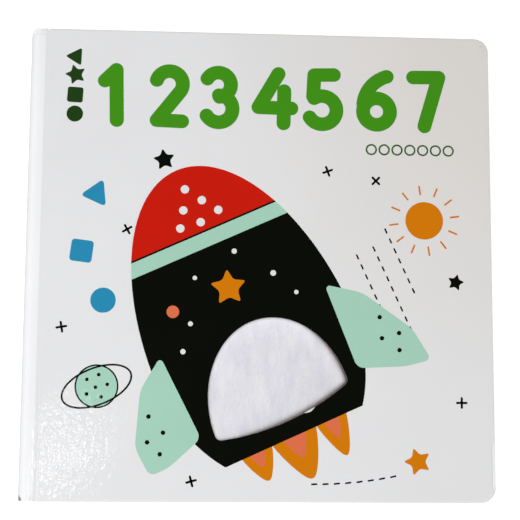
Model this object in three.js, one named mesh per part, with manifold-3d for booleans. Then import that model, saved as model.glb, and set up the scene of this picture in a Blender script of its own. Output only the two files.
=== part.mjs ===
// Touch-and-feel board book, closed and lying on its back cover.
// The front cover has a die-cut window with a plush patch behind it. Both covers hinge at a crease
// beside the spine. Millimetres, +Z out of the front cover, +Y towards the head, +X from spine to fore-edge.
// The origin is the middle of the footprint, on the surface that the book lies on.
import * as THREE from "three";
import { mergeVertices } from "three/addons/utils/BufferGeometryUtils.js";
import Module from "manifold-3d";

const wasm = await Module();
wasm.setup();

// Format of the book
const bookWidth = 210; // spine back to fore-edge
const bookHeight = 212; // tail to head
const cornerRadius = 6.5; // die-cut corners at the fore-edge

// Leaves
const leafCount = 6;
const leafThickness = 2.2;
const leafGap = 0.2; // slot seen between two closed leaves
const leafGapDepth = 7; // how far that slot runs in from the three open edges
const leafFan = 0.15; // each leaf sits this much further in than the one below it
const leafEdgeSoftening = 0.25;

// Covers
const boardThickness = 1.8; // printed outer board
const frontLiningThickness = 1.6; // inner board that carries the plush patch
const backLiningThickness = 1.0;
const boardEdgeRound = 0.9; // rolled edge of the outer boards
const restGap = 0.3; // air between a closed cover and the leaves
const frontCoverSetBack = 0.2; // the front cover stops short of the back cover at the fore-edge

// Spine and hinge creases
const shoulderWidth = 7.8; // spine back to the middle of the crease
const creaseGap = 0.6; // slot that lets a cover turn
const creaseDepth = 0.5; // how far the shoulder falls towards the crease
const creaseSlope = 0.9; // width of that fall
const spineCornerRadius = 5.8;
const spineBow = 0.5; // the hollow back bows out by this much
const spineWall = 1.5;
const spineHollow = 1.0; // air between the spine wall and the folds of the leaves

// Die-cut window in the front cover: a dome on a shallow bowed base, tilted
const windowHalfWidth = 32;
const windowHeight = 42.1;
const windowBaseBow = 4.8;
const windowCornerReach = 2.4; // how far the lower corners are rounded
const windowLean = 0.059; // how far the dome leans sideways, for each mm of its height
const windowTilt = THREE.MathUtils.degToRad(24.4);
const windowPlace = new THREE.Vector2(10.3, -66.3); // middle of the base line on the cover

// Plush patch behind the window
const plushMargin = 6; // backing cloth hidden behind the board, all round
const plushBackingThickness = 0.7;
const plushPocketDepth = 1.0; // recess in the lining board
const plushPocketClearance = 0.3; // round the backing cloth in its recess
const plushPileClearance = 0.3; // between the pile and the cut edge of the window
const plushShoulderDrop = 0.5; // pile height at the window edge, below the cover's face
const plushCrown = 0.9; // pile height in the middle, above the cover's face

// Touch patches let into the first and the last page
const pagePocketDepth = 1.1;
const pagePatchThickness = 0.8;
const pagePatchClearance = 0.3;
const firstPatchRadius = 30;
const firstPatchPlace = new THREE.Vector2(8, -12);
const firstPatchRibPitch = 3.2; // wide-wale cloth
const firstPatchRibHeight = 0.35;
const lastPatchSide = 50;
const lastPatchCorner = 9;
const lastPatchPlace = new THREE.Vector2(4, 10);

const arcSegments = 14; // facets in a rounded corner
const outlineSegments = 26; // facets in the dome of the window
const spineSegments = 8; // facets in each curve of the spine's section

// Heights of the stack, from the surface up
const backCoverThickness = boardThickness + backLiningThickness;
const frontCoverThickness = frontLiningThickness + boardThickness;
const blockBottom = backCoverThickness + restGap;
const leafPitch = leafThickness + leafGap;
const blockTop = blockBottom + leafCount * leafPitch - leafGap;
const frontCoverBottom = blockTop + restGap;
const frontBoardBottom = frontCoverBottom + frontLiningThickness;
const bookThickness = frontCoverBottom + frontCoverThickness;

// Places along the width
const spineBack = -bookWidth / 2;
const creaseX = spineBack + shoulderWidth;
const shoulderEnd = creaseX - creaseGap / 2;
const panelStart = creaseX + creaseGap / 2;
const foreEdge = bookWidth / 2;
const frontForeEdge = foreEdge - frontCoverSetBack;
const hollowLeft = spineBack + spineWall;
const leafFold = hollowLeft + spineHollow;

const laminatedWhite = new THREE.MeshStandardMaterial({ color: 0xe9e9ec, roughness: 0.22, metalness: 0 });
const liningWhite = new THREE.MeshStandardMaterial({ color: 0xf1f0ec, roughness: 0.45, metalness: 0 });
const leafBoard = new THREE.MeshStandardMaterial({ color: 0xeae7df, roughness: 0.75, metalness: 0 });
const whitePlush = new THREE.MeshStandardMaterial({ color: 0xe4e3ea, roughness: 1, metalness: 0 });
const ribbedCloth = new THREE.MeshStandardMaterial({ color: 0x2b8cb8, roughness: 0.95, metalness: 0 });
const orangeFelt = new THREE.MeshStandardMaterial({ color: 0xd97b12, roughness: 1, metalness: 0 });

// A geometry reduced to its shared corner points.
function joined(geometry) {
  const bare = geometry.clone();
  bare.deleteAttribute("normal");
  bare.deleteAttribute("uv");
  return mergeVertices(bare, 1e-4);
}

// Turns a closed three.js geometry into a solid that can be cut and joined.
function toSolid(geometry) {
  const merged = joined(geometry);
  return new wasm.Manifold(
    new wasm.Mesh({
      numProp: 3,
      vertProperties: new Float32Array(merged.attributes.position.array),
      triVerts: new Uint32Array(merged.index.array),
    }),
  );
}

// Turns a solid back into a geometry.
function toGeometry(solid) {
  const mesh = solid.getMesh();
  const geometry = new THREE.BufferGeometry();
  geometry.setAttribute("position", new THREE.BufferAttribute(mesh.vertProperties, 3));
  geometry.setIndex(new THREE.BufferAttribute(mesh.triVerts, 1));
  geometry.computeVertexNormals();
  return geometry;
}

// A named sub-part with its material.
function subPart(name, solid, material) {
  const mesh = new THREE.Mesh(toGeometry(solid), material);
  mesh.name = name;
  return mesh;
}

// Outline of a board: square at the crease or fold, rounded at the fore-edge.
function boardOutline(left, right, inset = 0) {
  const top = bookHeight / 2 - inset;
  const edge = right - inset;
  const radius = Math.max(cornerRadius - inset, 1);
  const outline = new THREE.Shape();
  outline.moveTo(left, -top);
  outline.lineTo(edge - radius, -top);
  outline.absarc(edge - radius, -top + radius, radius, -Math.PI / 2, 0);
  outline.lineTo(edge, top - radius);
  outline.absarc(edge - radius, top - radius, radius, 0, Math.PI / 2);
  outline.lineTo(left, top);
  outline.closePath();
  return outline;
}

// An outline's points with no point repeated, so that an extrusion of them closes cleanly.
function distinctPoints(points) {
  return points.filter((point, i) => point.distanceTo(points[(i + 1) % points.length]) > 1e-3);
}

// A flat slab of an outline, from bottom up, with softened edges above and below.
function slab(outline, bottom, thickness, softening = 0, steps = 1, segments = arcSegments) {
  const geometry = new THREE.ExtrudeGeometry(new THREE.Shape(distinctPoints(outline.getPoints(segments))), {
    depth: thickness - 2 * softening,
    bevelEnabled: softening > 0,
    bevelSize: softening,
    bevelThickness: softening,
    bevelOffset: -softening,
    bevelSegments: steps,
  });
  geometry.translate(0, 0, bottom + softening);
  return toSolid(geometry);
}

// A section in X and Z drawn out along Y, about a middle. Its corners are joined before it is turned.
function drawnAlongY(section, length, middle) {
  const outline = new THREE.Shape(distinctPoints(section.getPoints(spineSegments)));
  const geometry = joined(new THREE.ExtrudeGeometry(outline, { depth: length, bevelEnabled: false }));
  geometry.rotateX(Math.PI / 2);
  geometry.translate(0, middle + length / 2, 0);
  return toSolid(geometry);
}

// An outer cover board: flat where it is glued, rolled over at the edges of its outer face.
function coverBoard(right, bottom, outerFaceUp) {
  const outline = boardOutline(panelStart, right);
  const doubled = 2 * boardThickness;
  const start = outerFaceUp ? bottom - boardThickness : bottom;
  const whole = slab(outline, start, doubled, boardEdgeRound, 4);
  return outerFaceUp
    ? whole.trimByPlane([0, 0, 1], bottom)
    : whole.trimByPlane([0, 0, -1], -(bottom + boardThickness));
}

// Outline of the window, grown outwards or, with a negative value, inwards, in its own upright frame.
function windowShape(grow) {
  const half = windowHalfWidth + grow;
  const reach = windowCornerReach;
  const bowRate = windowBaseBow / half ** 2;
  const bowEnd = half - reach;
  const base = -grow;
  const bowEndY = base - windowBaseBow + bowRate * bowEnd ** 2;
  const bowControlY = base - windowBaseBow - bowRate * bowEnd ** 2;
  const shape = new THREE.Shape();
  shape.moveTo(half, base + reach);
  shape.lineTo(half, reach);
  shape.absellipse(0, reach, half, windowHeight - reach + grow, 0, Math.PI);
  shape.lineTo(-half, base + reach);
  shape.quadraticCurveTo(-half, base, -bowEnd, bowEndY);
  shape.quadraticCurveTo(0, bowControlY, bowEnd, bowEndY);
  shape.quadraticCurveTo(half, base, half, base + reach);
  return shape;
}

// A point of the window above its lower corners, shifted sideways by the lean of the dome.
function leaned(point) {
  const shift = windowLean * Math.max(point.y - windowCornerReach, 0);
  return new THREE.Vector2(point.x + shift, point.y);
}

// Points of the window's outline where it lies on the cover, counterclockwise.
function windowPoints(grow) {
  const origin = new THREE.Vector2(0, 0);
  const points = windowShape(grow)
    .getPoints(outlineSegments)
    .map((point) => leaned(point).rotateAround(origin, windowTilt).add(windowPlace));
  return distinctPoints(points);
}

// A straight prism of the window's outline.
function windowPrism(grow, bottom, top) {
  return slab(new THREE.Shape(windowPoints(grow)), bottom, top - bottom);
}

// The pile: the window's outline carried up to its edge height, then crowned towards the middle.
function crownedPile(bottom, shoulder, crown) {
  const outline = windowPoints(-plushPileClearance);
  const centre = new THREE.Vector2(0, windowHeight * 0.36)
    .rotateAround(new THREE.Vector2(0, 0), windowTilt)
    .add(windowPlace);
  const crownRings = 6;
  const rings = [{ share: 1, height: bottom }];
  for (let i = 0; i < crownRings; i++) {
    const turn = ((i / crownRings) * Math.PI) / 2;
    rings.push({ share: Math.cos(turn), height: shoulder + (crown - shoulder) * Math.sin(turn) });
  }
  const positions = [];
  for (const { share, height } of rings)
    for (const point of outline) {
      const placed = centre.clone().lerp(point, share);
      positions.push(placed.x, placed.y, height);
    }
  const count = outline.length;
  const bottomCentre = rings.length * count;
  const topCentre = bottomCentre + 1;
  positions.push(centre.x, centre.y, bottom, centre.x, centre.y, crown);
  const faces = [];
  for (let i = 0; i < count; i++) {
    const next = (i + 1) % count;
    for (let ring = 0; ring < rings.length - 1; ring++) {
      const low = ring * count;
      const high = low + count;
      faces.push(low + i, low + next, high + next, low + i, high + next, high + i);
    }
    const last = (rings.length - 1) * count;
    faces.push(last + i, last + next, topCentre);
    faces.push(bottomCentre, next, i);
  }
  const geometry = new THREE.BufferGeometry();
  geometry.setAttribute("position", new THREE.Float32BufferAttribute(positions, 3));
  geometry.setIndex(faces);
  return toSolid(geometry);
}

// Front cover board with its die-cut window.
function frontBoard() {
  const cutter = windowPrism(0, frontBoardBottom - 1, bookThickness + 1);
  return coverBoard(frontForeEdge, frontBoardBottom, true).subtract(cutter);
}

// Lining board of the front cover, recessed for the plush's backing cloth.
function frontLining() {
  const board = slab(boardOutline(panelStart, frontForeEdge), frontCoverBottom, frontLiningThickness);
  const pocket = windowPrism(plushMargin, frontBoardBottom - plushPocketDepth, frontBoardBottom + 1);
  return board.subtract(pocket);
}

// Plush patch: backing cloth glued in the lining's recess, with the pile standing up through the window.
function plushPatch() {
  const backingBottom = frontBoardBottom - plushPocketDepth;
  const backingTop = backingBottom + plushBackingThickness;
  const backing = windowPrism(plushMargin - plushPocketClearance, backingBottom, backingTop);
  const pile = crownedPile(
    backingBottom + plushBackingThickness / 2,
    bookThickness - plushShoulderDrop,
    bookThickness + plushCrown,
  );
  return backing.add(pile);
}

// Back cover board, plain.
function backBoard() {
  return coverBoard(foreEdge, 0, false);
}

// Lining board of the back cover.
function backLining() {
  return slab(boardOutline(panelStart, foreEdge), boardThickness, backLiningThickness);
}

// Section of the spine: a hollow back with a rounded shoulder on each side that falls to the crease.
function spineSection() {
  const back = spineBack + spineBow;
  const middle = bookThickness / 2;
  const section = new THREE.Shape();
  section.moveTo(shoulderEnd, blockTop);
  section.lineTo(shoulderEnd, bookThickness - creaseDepth);
  section.quadraticCurveTo(shoulderEnd - creaseSlope / 3, bookThickness, shoulderEnd - creaseSlope, bookThickness);
  section.lineTo(back + spineCornerRadius, bookThickness);
  section.absarc(back + spineCornerRadius, bookThickness - spineCornerRadius, spineCornerRadius, Math.PI / 2, Math.PI);
  section.quadraticCurveTo(back - 2 * spineBow, middle, back, spineCornerRadius);
  section.absarc(back + spineCornerRadius, spineCornerRadius, spineCornerRadius, Math.PI, 1.5 * Math.PI);
  section.lineTo(shoulderEnd - creaseSlope, 0);
  section.quadraticCurveTo(shoulderEnd - creaseSlope / 3, 0, shoulderEnd, creaseDepth);
  section.lineTo(shoulderEnd, blockBottom);
  section.lineTo(hollowLeft, blockBottom);
  section.lineTo(hollowLeft, blockTop);
  section.closePath();
  return section;
}

// Spine of the cover, one folded piece glued to the first and the last leaf along its shoulders.
function spineWrap() {
  return drawnAlongY(spineSection(), bookHeight, 0);
}

// Outline of the round patch on the first page.
function firstPatchOutline(radius) {
  const outline = new THREE.Shape();
  outline.absarc(firstPatchPlace.x, firstPatchPlace.y, radius, 0, 2 * Math.PI);
  return outline;
}

// Outline of the rounded square patch on the last page.
function lastPatchOutline(inset) {
  const half = lastPatchSide / 2 - inset;
  const corner = lastPatchCorner - inset;
  const { x, y } = lastPatchPlace;
  const outline = new THREE.Shape();
  outline.moveTo(x - half + corner, y - half);
  outline.lineTo(x + half - corner, y - half);
  outline.absarc(x + half - corner, y - half + corner, corner, -Math.PI / 2, 0);
  outline.lineTo(x + half, y + half - corner);
  outline.absarc(x + half - corner, y + half - corner, corner, 0, Math.PI / 2);
  outline.lineTo(x - half + corner, y + half);
  outline.absarc(x - half + corner, y + half - corner, corner, Math.PI / 2, Math.PI);
  outline.lineTo(x - half, y - half + corner);
  outline.absarc(x - half + corner, y - half + corner, corner, Math.PI, 1.5 * Math.PI);
  return outline;
}

// The leaves as one block: each leaf stands clear of the next along its three open edges,
// and a filler between them stands for the pages lying against each other further in.
function pageBlock() {
  let block = null;
  for (let i = 0; i < leafCount; i++) {
    const bottom = blockBottom + i * leafPitch;
    const right = foreEdge - i * leafFan;
    const leaf = slab(boardOutline(leafFold, right), bottom, leafThickness, leafEdgeSoftening);
    block = block ? block.add(leaf) : leaf;
    if (i === leafCount - 1) break;
    const contact = boardOutline(leafFold, right, leafGapDepth);
    const filler = slab(contact, bottom + leafThickness / 2, leafPitch);
    block = block.add(filler);
  }
  const firstPocket = slab(firstPatchOutline(firstPatchRadius), blockTop - pagePocketDepth, pagePocketDepth + 1, 0, 1, 28);
  const lastPocket = slab(lastPatchOutline(0), blockBottom - 1, pagePocketDepth + 1, 0, 1, 8);
  return block.subtract(firstPocket).subtract(lastPocket);
}

// Ribbed cloth disc let into the first page.
function firstPagePatch() {
  const radius = firstPatchRadius - pagePatchClearance;
  const bottom = blockTop - pagePocketDepth;
  const ribFoot = bottom + pagePatchThickness - firstPatchRibHeight;
  const ribCount = Math.ceil((2 * radius) / firstPatchRibPitch);
  const ribStart = firstPatchPlace.x - (ribCount * firstPatchRibPitch) / 2;
  const section = new THREE.Shape();
  section.moveTo(ribStart, bottom);
  section.lineTo(ribStart + ribCount * firstPatchRibPitch, bottom);
  section.lineTo(ribStart + ribCount * firstPatchRibPitch, ribFoot);
  for (let i = ribCount - 1; i >= 0; i--) {
    const middle = ribStart + (i + 0.5) * firstPatchRibPitch;
    section.lineTo(middle + firstPatchRibPitch * 0.28, ribFoot + firstPatchRibHeight);
    section.lineTo(middle - firstPatchRibPitch * 0.28, ribFoot + firstPatchRibHeight);
    section.lineTo(ribStart + i * firstPatchRibPitch, ribFoot);
  }
  section.closePath();
  const ribs = drawnAlongY(section, 2 * radius + 2, firstPatchPlace.y);
  return slab(firstPatchOutline(radius), bottom, pagePatchThickness, 0, 1, 28).intersect(ribs);
}

// Felt square let into the last page.
function lastPagePatch() {
  const top = blockBottom + pagePocketDepth;
  return slab(lastPatchOutline(pagePatchClearance), top - pagePatchThickness, pagePatchThickness, 0, 1, 8);
}

const block = new THREE.Group();
block.add(subPart("page_block", pageBlock(), leafBoard));
block.add(subPart("spine_wrap", spineWrap(), laminatedWhite));
block.add(subPart("first_page_patch", firstPagePatch(), ribbedCloth));
block.add(subPart("last_page_patch", lastPagePatch(), orangeFelt));

const frontCover = new THREE.Group();
frontCover.add(subPart("front_board", frontBoard(), laminatedWhite));
frontCover.add(subPart("front_lining", frontLining(), liningWhite));
frontCover.add(subPart("plush_patch", plushPatch(), whitePlush));

const backCover = new THREE.Group();
backCover.add(subPart("back_board", backBoard(), laminatedWhite));
backCover.add(subPart("back_lining", backLining(), liningWhite));

const book = new THREE.Group();
book.add(block, frontCover, backCover);

export default book;
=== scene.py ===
"""Looks of a touch-and-feel board book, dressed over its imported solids.

Lengths are in metres, in the frame of the solids: X from spine to fore-edge, Y from tail to head, and Z up
out of the front cover of the closed book. The cover's print, and the tables that say so, are in millimetres.
"""

import logging
import math
from collections.abc import Callable, Iterator, Sequence
from contextlib import contextmanager
from dataclasses import dataclass, field
from enum import Enum

import bmesh
import bpy
import numpy as np
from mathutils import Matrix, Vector

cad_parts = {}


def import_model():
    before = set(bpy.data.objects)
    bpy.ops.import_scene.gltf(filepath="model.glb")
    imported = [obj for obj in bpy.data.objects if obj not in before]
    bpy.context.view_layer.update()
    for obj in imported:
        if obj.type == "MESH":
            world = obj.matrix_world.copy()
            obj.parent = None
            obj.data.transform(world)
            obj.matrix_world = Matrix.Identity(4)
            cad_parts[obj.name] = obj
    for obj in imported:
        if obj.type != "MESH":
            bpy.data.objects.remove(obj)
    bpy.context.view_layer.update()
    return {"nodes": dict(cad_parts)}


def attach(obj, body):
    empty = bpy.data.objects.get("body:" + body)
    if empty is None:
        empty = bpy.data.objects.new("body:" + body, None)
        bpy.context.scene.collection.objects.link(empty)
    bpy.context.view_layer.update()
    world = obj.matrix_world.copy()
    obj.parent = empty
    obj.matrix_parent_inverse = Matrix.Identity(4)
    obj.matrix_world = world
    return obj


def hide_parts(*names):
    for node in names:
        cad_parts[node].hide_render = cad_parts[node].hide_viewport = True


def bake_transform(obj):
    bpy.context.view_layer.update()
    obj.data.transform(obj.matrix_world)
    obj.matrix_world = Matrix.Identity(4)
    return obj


LOG = logging.getLogger("board_book")
MM = 0.001
SLACK = 1e-6
Colour = tuple[float, float, float]
Place = tuple[float, float, float]
Point = tuple[float, float]
Piece = bpy.types.Object
Socket = bpy.types.NodeSocket


class Body(str, Enum):
    """The three bodies that the book's pieces ride on."""

    BLOCK = "block"
    FRONT = "front_cover"
    BACK = "back_cover"


class Slot(str, Enum):
    """Material slots of the record. The covers' table lists one for each piece, but nothing gives it to a
    piece.
    """

    LAMINATED = "laminated_board"
    LINING = "lining_board"
    LEAF = "leaf_board"
    PLUSH = "plush"


class Pick(Enum):
    """What is selected in edit mode, with Blender's switches for it."""

    VERTS = (True, False, False)
    EDGES = (False, True, False)
    FACES = (False, False, True)


def srgb(red: int, green: int, blue: int) -> Colour:
    """Turns a colour as a screen shows it, from 0 to 255, into the linear one that a shader takes."""
    shares = (red / 255, green / 255, blue / 255)
    return tuple(s / 12.92 if s <= 0.04045 else ((s + 0.055) / 1.055) ** 2.4 for s in shares)


def toned(colour: Colour, share: float) -> Colour:
    """Makes a colour lighter or darker, by a share that it is multiplied by."""
    return tuple(min(channel * share, 1.0) for channel in colour)


def polar(x: float, y: float, radius: float, degrees: float) -> Point:
    """Gives the point at a distance and in a direction, anticlockwise from X, from a place at X and Y."""
    turn = math.radians(degrees)
    return x + radius * math.cos(turn), y + radius * math.sin(turn)


def upright(a: Vector, b: Vector) -> bool:
    """Says by both ends of an edge whether it stands up."""
    return abs(a.z - b.z) > 0.1 * MM


@dataclass(frozen=True)
class BookFormat:
    """Sizes that the whole book shares, the same as in the part's source."""

    width: float = 210 * MM
    height: float = 212 * MM
    corner: float = 6.5 * MM
    board: float = 1.8 * MM
    front_lining: float = 1.6 * MM
    back_lining: float = 1.0 * MM
    leaf_count: int = 6
    leaf: float = 2.2 * MM
    leaf_gap: float = 0.2 * MM
    leaf_fan: float = 0.15 * MM
    rest_gap: float = 0.3 * MM
    front_set_back: float = 0.2 * MM
    shoulder: float = 7.8 * MM
    crease_gap: float = 0.6 * MM
    spine_wall: float = 1.5 * MM
    spine_hollow: float = 1.0 * MM
    # X from spine to fore-edge: back, folds of the leaves, creases between shoulders and boards, fore-edge
    spine_back: float = -width / 2
    leaf_fold: float = spine_back + spine_wall + spine_hollow
    crease: float = spine_back + shoulder
    shoulder_end: float = crease - crease_gap / 2
    panel_start: float = crease + crease_gap / 2
    fore_edge: float = width / 2
    # Z from the back cover up: its inner face, the leaves, and the front cover's lining and board
    back_inner: float = board + back_lining
    block_bottom: float = back_inner + rest_gap
    leaf_pitch: float = leaf + leaf_gap
    block_top: float = block_bottom + leaf_count * leaf_pitch - leaf_gap
    front_bottom: float = block_top + rest_gap
    front_board_bottom: float = front_bottom + front_lining
    thickness: float = front_board_bottom + board


BOOK = BookFormat()


class Bench:
    """Modelling steps that the sub-assemblies share."""

    @staticmethod
    def clear() -> None:
        """Leaves edit mode and deselects every object."""
        if bpy.context.mode != "OBJECT":
            bpy.ops.object.mode_set(mode="OBJECT")
        bpy.ops.object.select_all(action="DESELECT")

    @staticmethod
    def alone(*objs: Piece) -> None:
        """Selects some pieces and nothing else, with the first one active.

        Args:
            *objs: The pieces.
        """
        Bench.clear()
        for obj in objs:
            obj.select_set(True)
        bpy.context.view_layer.objects.active = objs[0]

    @staticmethod
    def take(name: str) -> Piece:
        """Names the piece that an operator has just added, and bakes its place into its mesh.

        Args:
            name: Name of the piece.

        Returns:
            The piece, at the origin.
        """
        obj = bpy.context.active_object
        obj.name = name
        obj.data.name = name
        bpy.ops.object.transform_apply(location=True, rotation=True, scale=True)
        return obj

    @staticmethod
    @contextmanager
    def edit(obj: Piece, kind: Pick = Pick.VERTS, test: Callable[..., bool] | None = None) -> Iterator[None]:
        """Holds a piece in edit mode, with all of it selected or what passes a test.

        Args:
            obj: The piece.
            kind: What is tested: corners by place, edges by both ends, or faces by middle and normal.
            test: Says whether one is selected.

        Yields:
            Nothing.
        """
        Bench.alone(obj)
        bpy.ops.object.mode_set(mode="EDIT")
        bpy.context.tool_settings.mesh_select_mode = kind.value
        bpy.ops.mesh.select_all(action="DESELECT" if test else "SELECT")
        if test:
            mesh = bmesh.from_edit_mesh(obj.data)
            if kind is Pick.VERTS:
                for vert in mesh.verts:
                    vert.select = test(vert.co)
                mesh.select_flush_mode()
            elif kind is Pick.EDGES:
                for edge in mesh.edges:
                    edge.select_set(test(edge.verts[0].co, edge.verts[1].co))
            else:
                mesh.normal_update()
                for face in mesh.faces:
                    face.select_set(test(face.calc_center_median(), face.normal))
            bmesh.update_edit_mesh(obj.data)
        yield
        bpy.ops.object.mode_set(mode="OBJECT")

    @staticmethod
    def draw(x: float, z: float) -> None:
        """Extrudes what is selected by a step along X and Z."""
        bpy.ops.mesh.extrude_region_move(TRANSFORM_OT_translate={"value": (x, 0, z)})

    @staticmethod
    def face_out() -> None:
        """Selects all of the piece in edit mode and turns its faces outwards."""
        bpy.ops.mesh.select_all(action="SELECT")
        bpy.ops.mesh.normals_make_consistent(inside=False)

    @staticmethod
    def sheet(name: str, wide: float, long: float, middle: Place, rows: int = 1) -> Piece:
        """Adds a flat sheet, cut into rows along Y.

        Args:
            name: Name of the sheet.
            wide: Its size along X.
            long: Its size along Y.
            middle: Where its middle lies.
            rows: How many rows it has.

        Returns:
            The sheet.
        """
        Bench.clear()
        bpy.ops.mesh.primitive_grid_add(x_subdivisions=1, y_subdivisions=rows, size=1)
        made = Bench.take(name)
        with Bench.edit(made):
            bpy.ops.transform.resize(value=(wide, long, 1))
            bpy.ops.transform.translate(value=middle)
        return made

    @staticmethod
    def lift(obj: Piece, height: float) -> None:
        """Draws a flat outline upwards into a closed slab.

        Args:
            obj: The outline.
            height: Height of the slab.
        """
        with Bench.edit(obj):
            Bench.draw(0, height)
            Bench.face_out()

    @staticmethod
    def place(obj: Piece, x: float, y: float, z: float, turn: float = 0.0) -> None:
        """Turns a flat piece about the origin, then carries it to its place.

        Args:
            obj: The piece.
            x: Where its origin goes, along X.
            y: Where its origin goes, along Y.
            z: Where its origin goes, along Z.
            turn: Turn about Z in degrees, anticlockwise from above.
        """
        Bench.alone(obj)
        obj.rotation_euler = (0, 0, math.radians(turn))
        obj.location = (x, y, z)
        bpy.ops.object.transform_apply(location=True, rotation=True, scale=True)

    @staticmethod
    def bevel(obj: Piece, offset: float, segments: int, test: Callable[..., bool]) -> None:
        """Rounds the edges of a piece that pass a test on both of their ends."""
        with Bench.edit(obj, Pick.EDGES, test):
            bpy.ops.mesh.bevel(offset=offset, segments=segments, profile=0.5, affect="EDGES")

    @staticmethod
    def modify(obj: Piece, kind: str, **settings: object) -> None:
        """Adds a modifier and applies it.

        Args:
            obj: The piece.
            kind: Blender's name for the modifier's type.
            **settings: Its settings by name.
        """
        Bench.alone(obj)
        modifier = obj.modifiers.new(kind.lower(), kind)
        for key, value in settings.items():
            setattr(modifier, key, value)
        bpy.ops.object.modifier_apply(modifier=modifier.name)

    @staticmethod
    def cut(obj: Piece, cutter: Piece) -> None:
        """Takes the space of a cutter out of a piece, and deletes the cutter."""
        Bench.modify(obj, "BOOLEAN", operation="DIFFERENCE", solver="EXACT", object=cutter)
        Bench.discard(cutter)

    @staticmethod
    def discard(*objs: Piece) -> None:
        """Deletes helper shapes."""
        for obj in objs:
            bpy.data.objects.remove(obj, do_unlink=True)

    @staticmethod
    def join(objs: Sequence[Piece], name: str) -> Piece:
        """Makes one piece of several.

        Args:
            objs: The pieces.
            name: Name of the joined piece.

        Returns:
            The joined piece.
        """
        Bench.alone(*objs)
        if len(objs) > 1:
            bpy.ops.object.join()
        objs[0].name = name
        objs[0].data.name = name
        return objs[0]

    @staticmethod
    def smooth(obj: Piece, degrees: float = 35.0) -> None:
        """Shades a piece smooth, apart from edges sharper than an angle."""
        Bench.alone(obj)
        bpy.ops.object.shade_smooth_by_angle(angle=math.radians(degrees))


class NodeSheet:
    """A material's node tree, with short ways to add what the finishes need."""

    def __init__(self, name: str) -> None:
        """Starts a material with one Principled shader.

        Args:
            name: Name of the material.
        """
        self.material = bpy.data.materials.new(name)
        self.material.use_nodes = True
        self.tree = self.material.node_tree
        self.shader = self.tree.nodes["Principled BSDF"]
        self.place = self.tree.nodes.new("ShaderNodeTexCoord").outputs["Object"]

    def feed(self, socket: Socket, value: object) -> None:
        """Links a field to a socket, or sets the socket to a plain value.

        Args:
            socket: The socket.
            value: The field or the plain value.
        """
        if isinstance(value, bpy.types.NodeSocket):
            self.tree.links.new(value, socket)
        else:
            socket.default_value = value

    def node(self, kind: str, out: str, inputs: dict[str | int, object], **settings: object) -> Socket:
        """Adds a node.

        Args:
            kind: Blender's name for its type, after ShaderNode.
            out: The output that is wanted.
            inputs: Fields and plain values, by the input's name or number.
            **settings: The node's own settings.

        Returns:
            The output.
        """
        made = self.tree.nodes.new("ShaderNode" + kind)
        for key, value in settings.items():
            setattr(made, key, value)
        for key, value in inputs.items():
            self.feed(made.inputs[key], value)
        return made.outputs[out]

    def set(self, **values: object) -> None:
        """Sets sockets of the shader by name, with underscores for spaces."""
        for key, value in values.items():
            self.feed(self.shader.inputs[key.replace("_", " ")], value)

    def stretch(self, scale: Place, turn: float = 0.0) -> Socket:
        """Gives the object's coordinates, scaled along each axis and turned about Z by some degrees."""
        inputs = {"Vector": self.place, "Scale": scale, "Rotation": (0, 0, math.radians(turn))}
        return self.node("Mapping", "Vector", inputs)

    def noise(
        self, scale: float, detail: float = 2, rough: float = 0.5, vector: Socket | None = None
    ) -> Socket:
        """Adds noise from 0 to 1, with so many features per metre and so many finer layers."""
        inputs = {"Scale": scale, "Detail": detail, "Roughness": rough, "Vector": vector or self.place}
        return self.node("TexNoise", "Fac", inputs)

    def span(self, value: Socket, low: float, high: float, to_low: float = 0, to_high: float = 1) -> Socket:
        """Maps a field from one range to another, held at the ends."""
        inputs = {"Value": value, "From Min": low, "From Max": high, "To Min": to_low, "To Max": to_high}
        return self.node("MapRange", "Result", inputs)

    def maths(self, kind: str, first: Socket | float, second: Socket | float = 0.0) -> Socket:
        """Adds a sum on two values, by Blender's name for it."""
        return self.node("Math", "Value", {0: first, 1: second}, operation=kind)

    def times(self, first: Socket, second: Socket | float) -> Socket:
        """Multiplies two values."""
        return self.maths("MULTIPLY", first, second)

    def off(self, value: Socket, middle: float) -> Socket:
        """Gives how far a value lies from a middle, on either side."""
        return self.maths("ABSOLUTE", self.maths("SUBTRACT", value, middle))

    def mix(self, factor: Socket, first: Socket | Colour, second: Socket | Colour) -> Socket:
        """Goes from one colour to another, each a plain one or a field.

        Args:
            factor: 0 for the first, 1 for the second.
            first: First colour.
            second: Second colour.

        Returns:
            The colour.
        """
        inputs = {"Factor": factor}
        for key, colour in (("A", first), ("B", second)):
            inputs[key] = (*colour, 1) if isinstance(colour, tuple) else colour
        return self.node("Mix", "Result", inputs, data_type="RGBA")

    def bump(self, height: Socket, strength: float, depth: float, under: Socket | None = None) -> Socket:
        """Adds a bump over the surface, or over another bump under it."""
        inputs = {"Height": height, "Strength": strength, "Distance": depth}
        return self.node("Bump", "Normal", inputs | ({"Normal": under} if under else {}))

    def axis(self, name: str) -> Socket:
        """Gives one of the object's coordinates, in metres."""
        return self.node("SeparateXYZ", name, {"Vector": self.place})

    def reach(self, centre: Place, scale: Place) -> Socket:
        """Gives the distance from a point.

        Args:
            centre: The point.
            scale: How much each axis counts.

        Returns:
            The distance in metres.
        """
        away = self.node("VectorMath", "Vector", {0: self.place, 1: centre}, operation="SUBTRACT")
        weighed = self.node("VectorMath", "Vector", {0: away, 1: scale}, operation="MULTIPLY")
        return self.node("VectorMath", "Value", {0: weighed}, operation="LENGTH")


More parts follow.
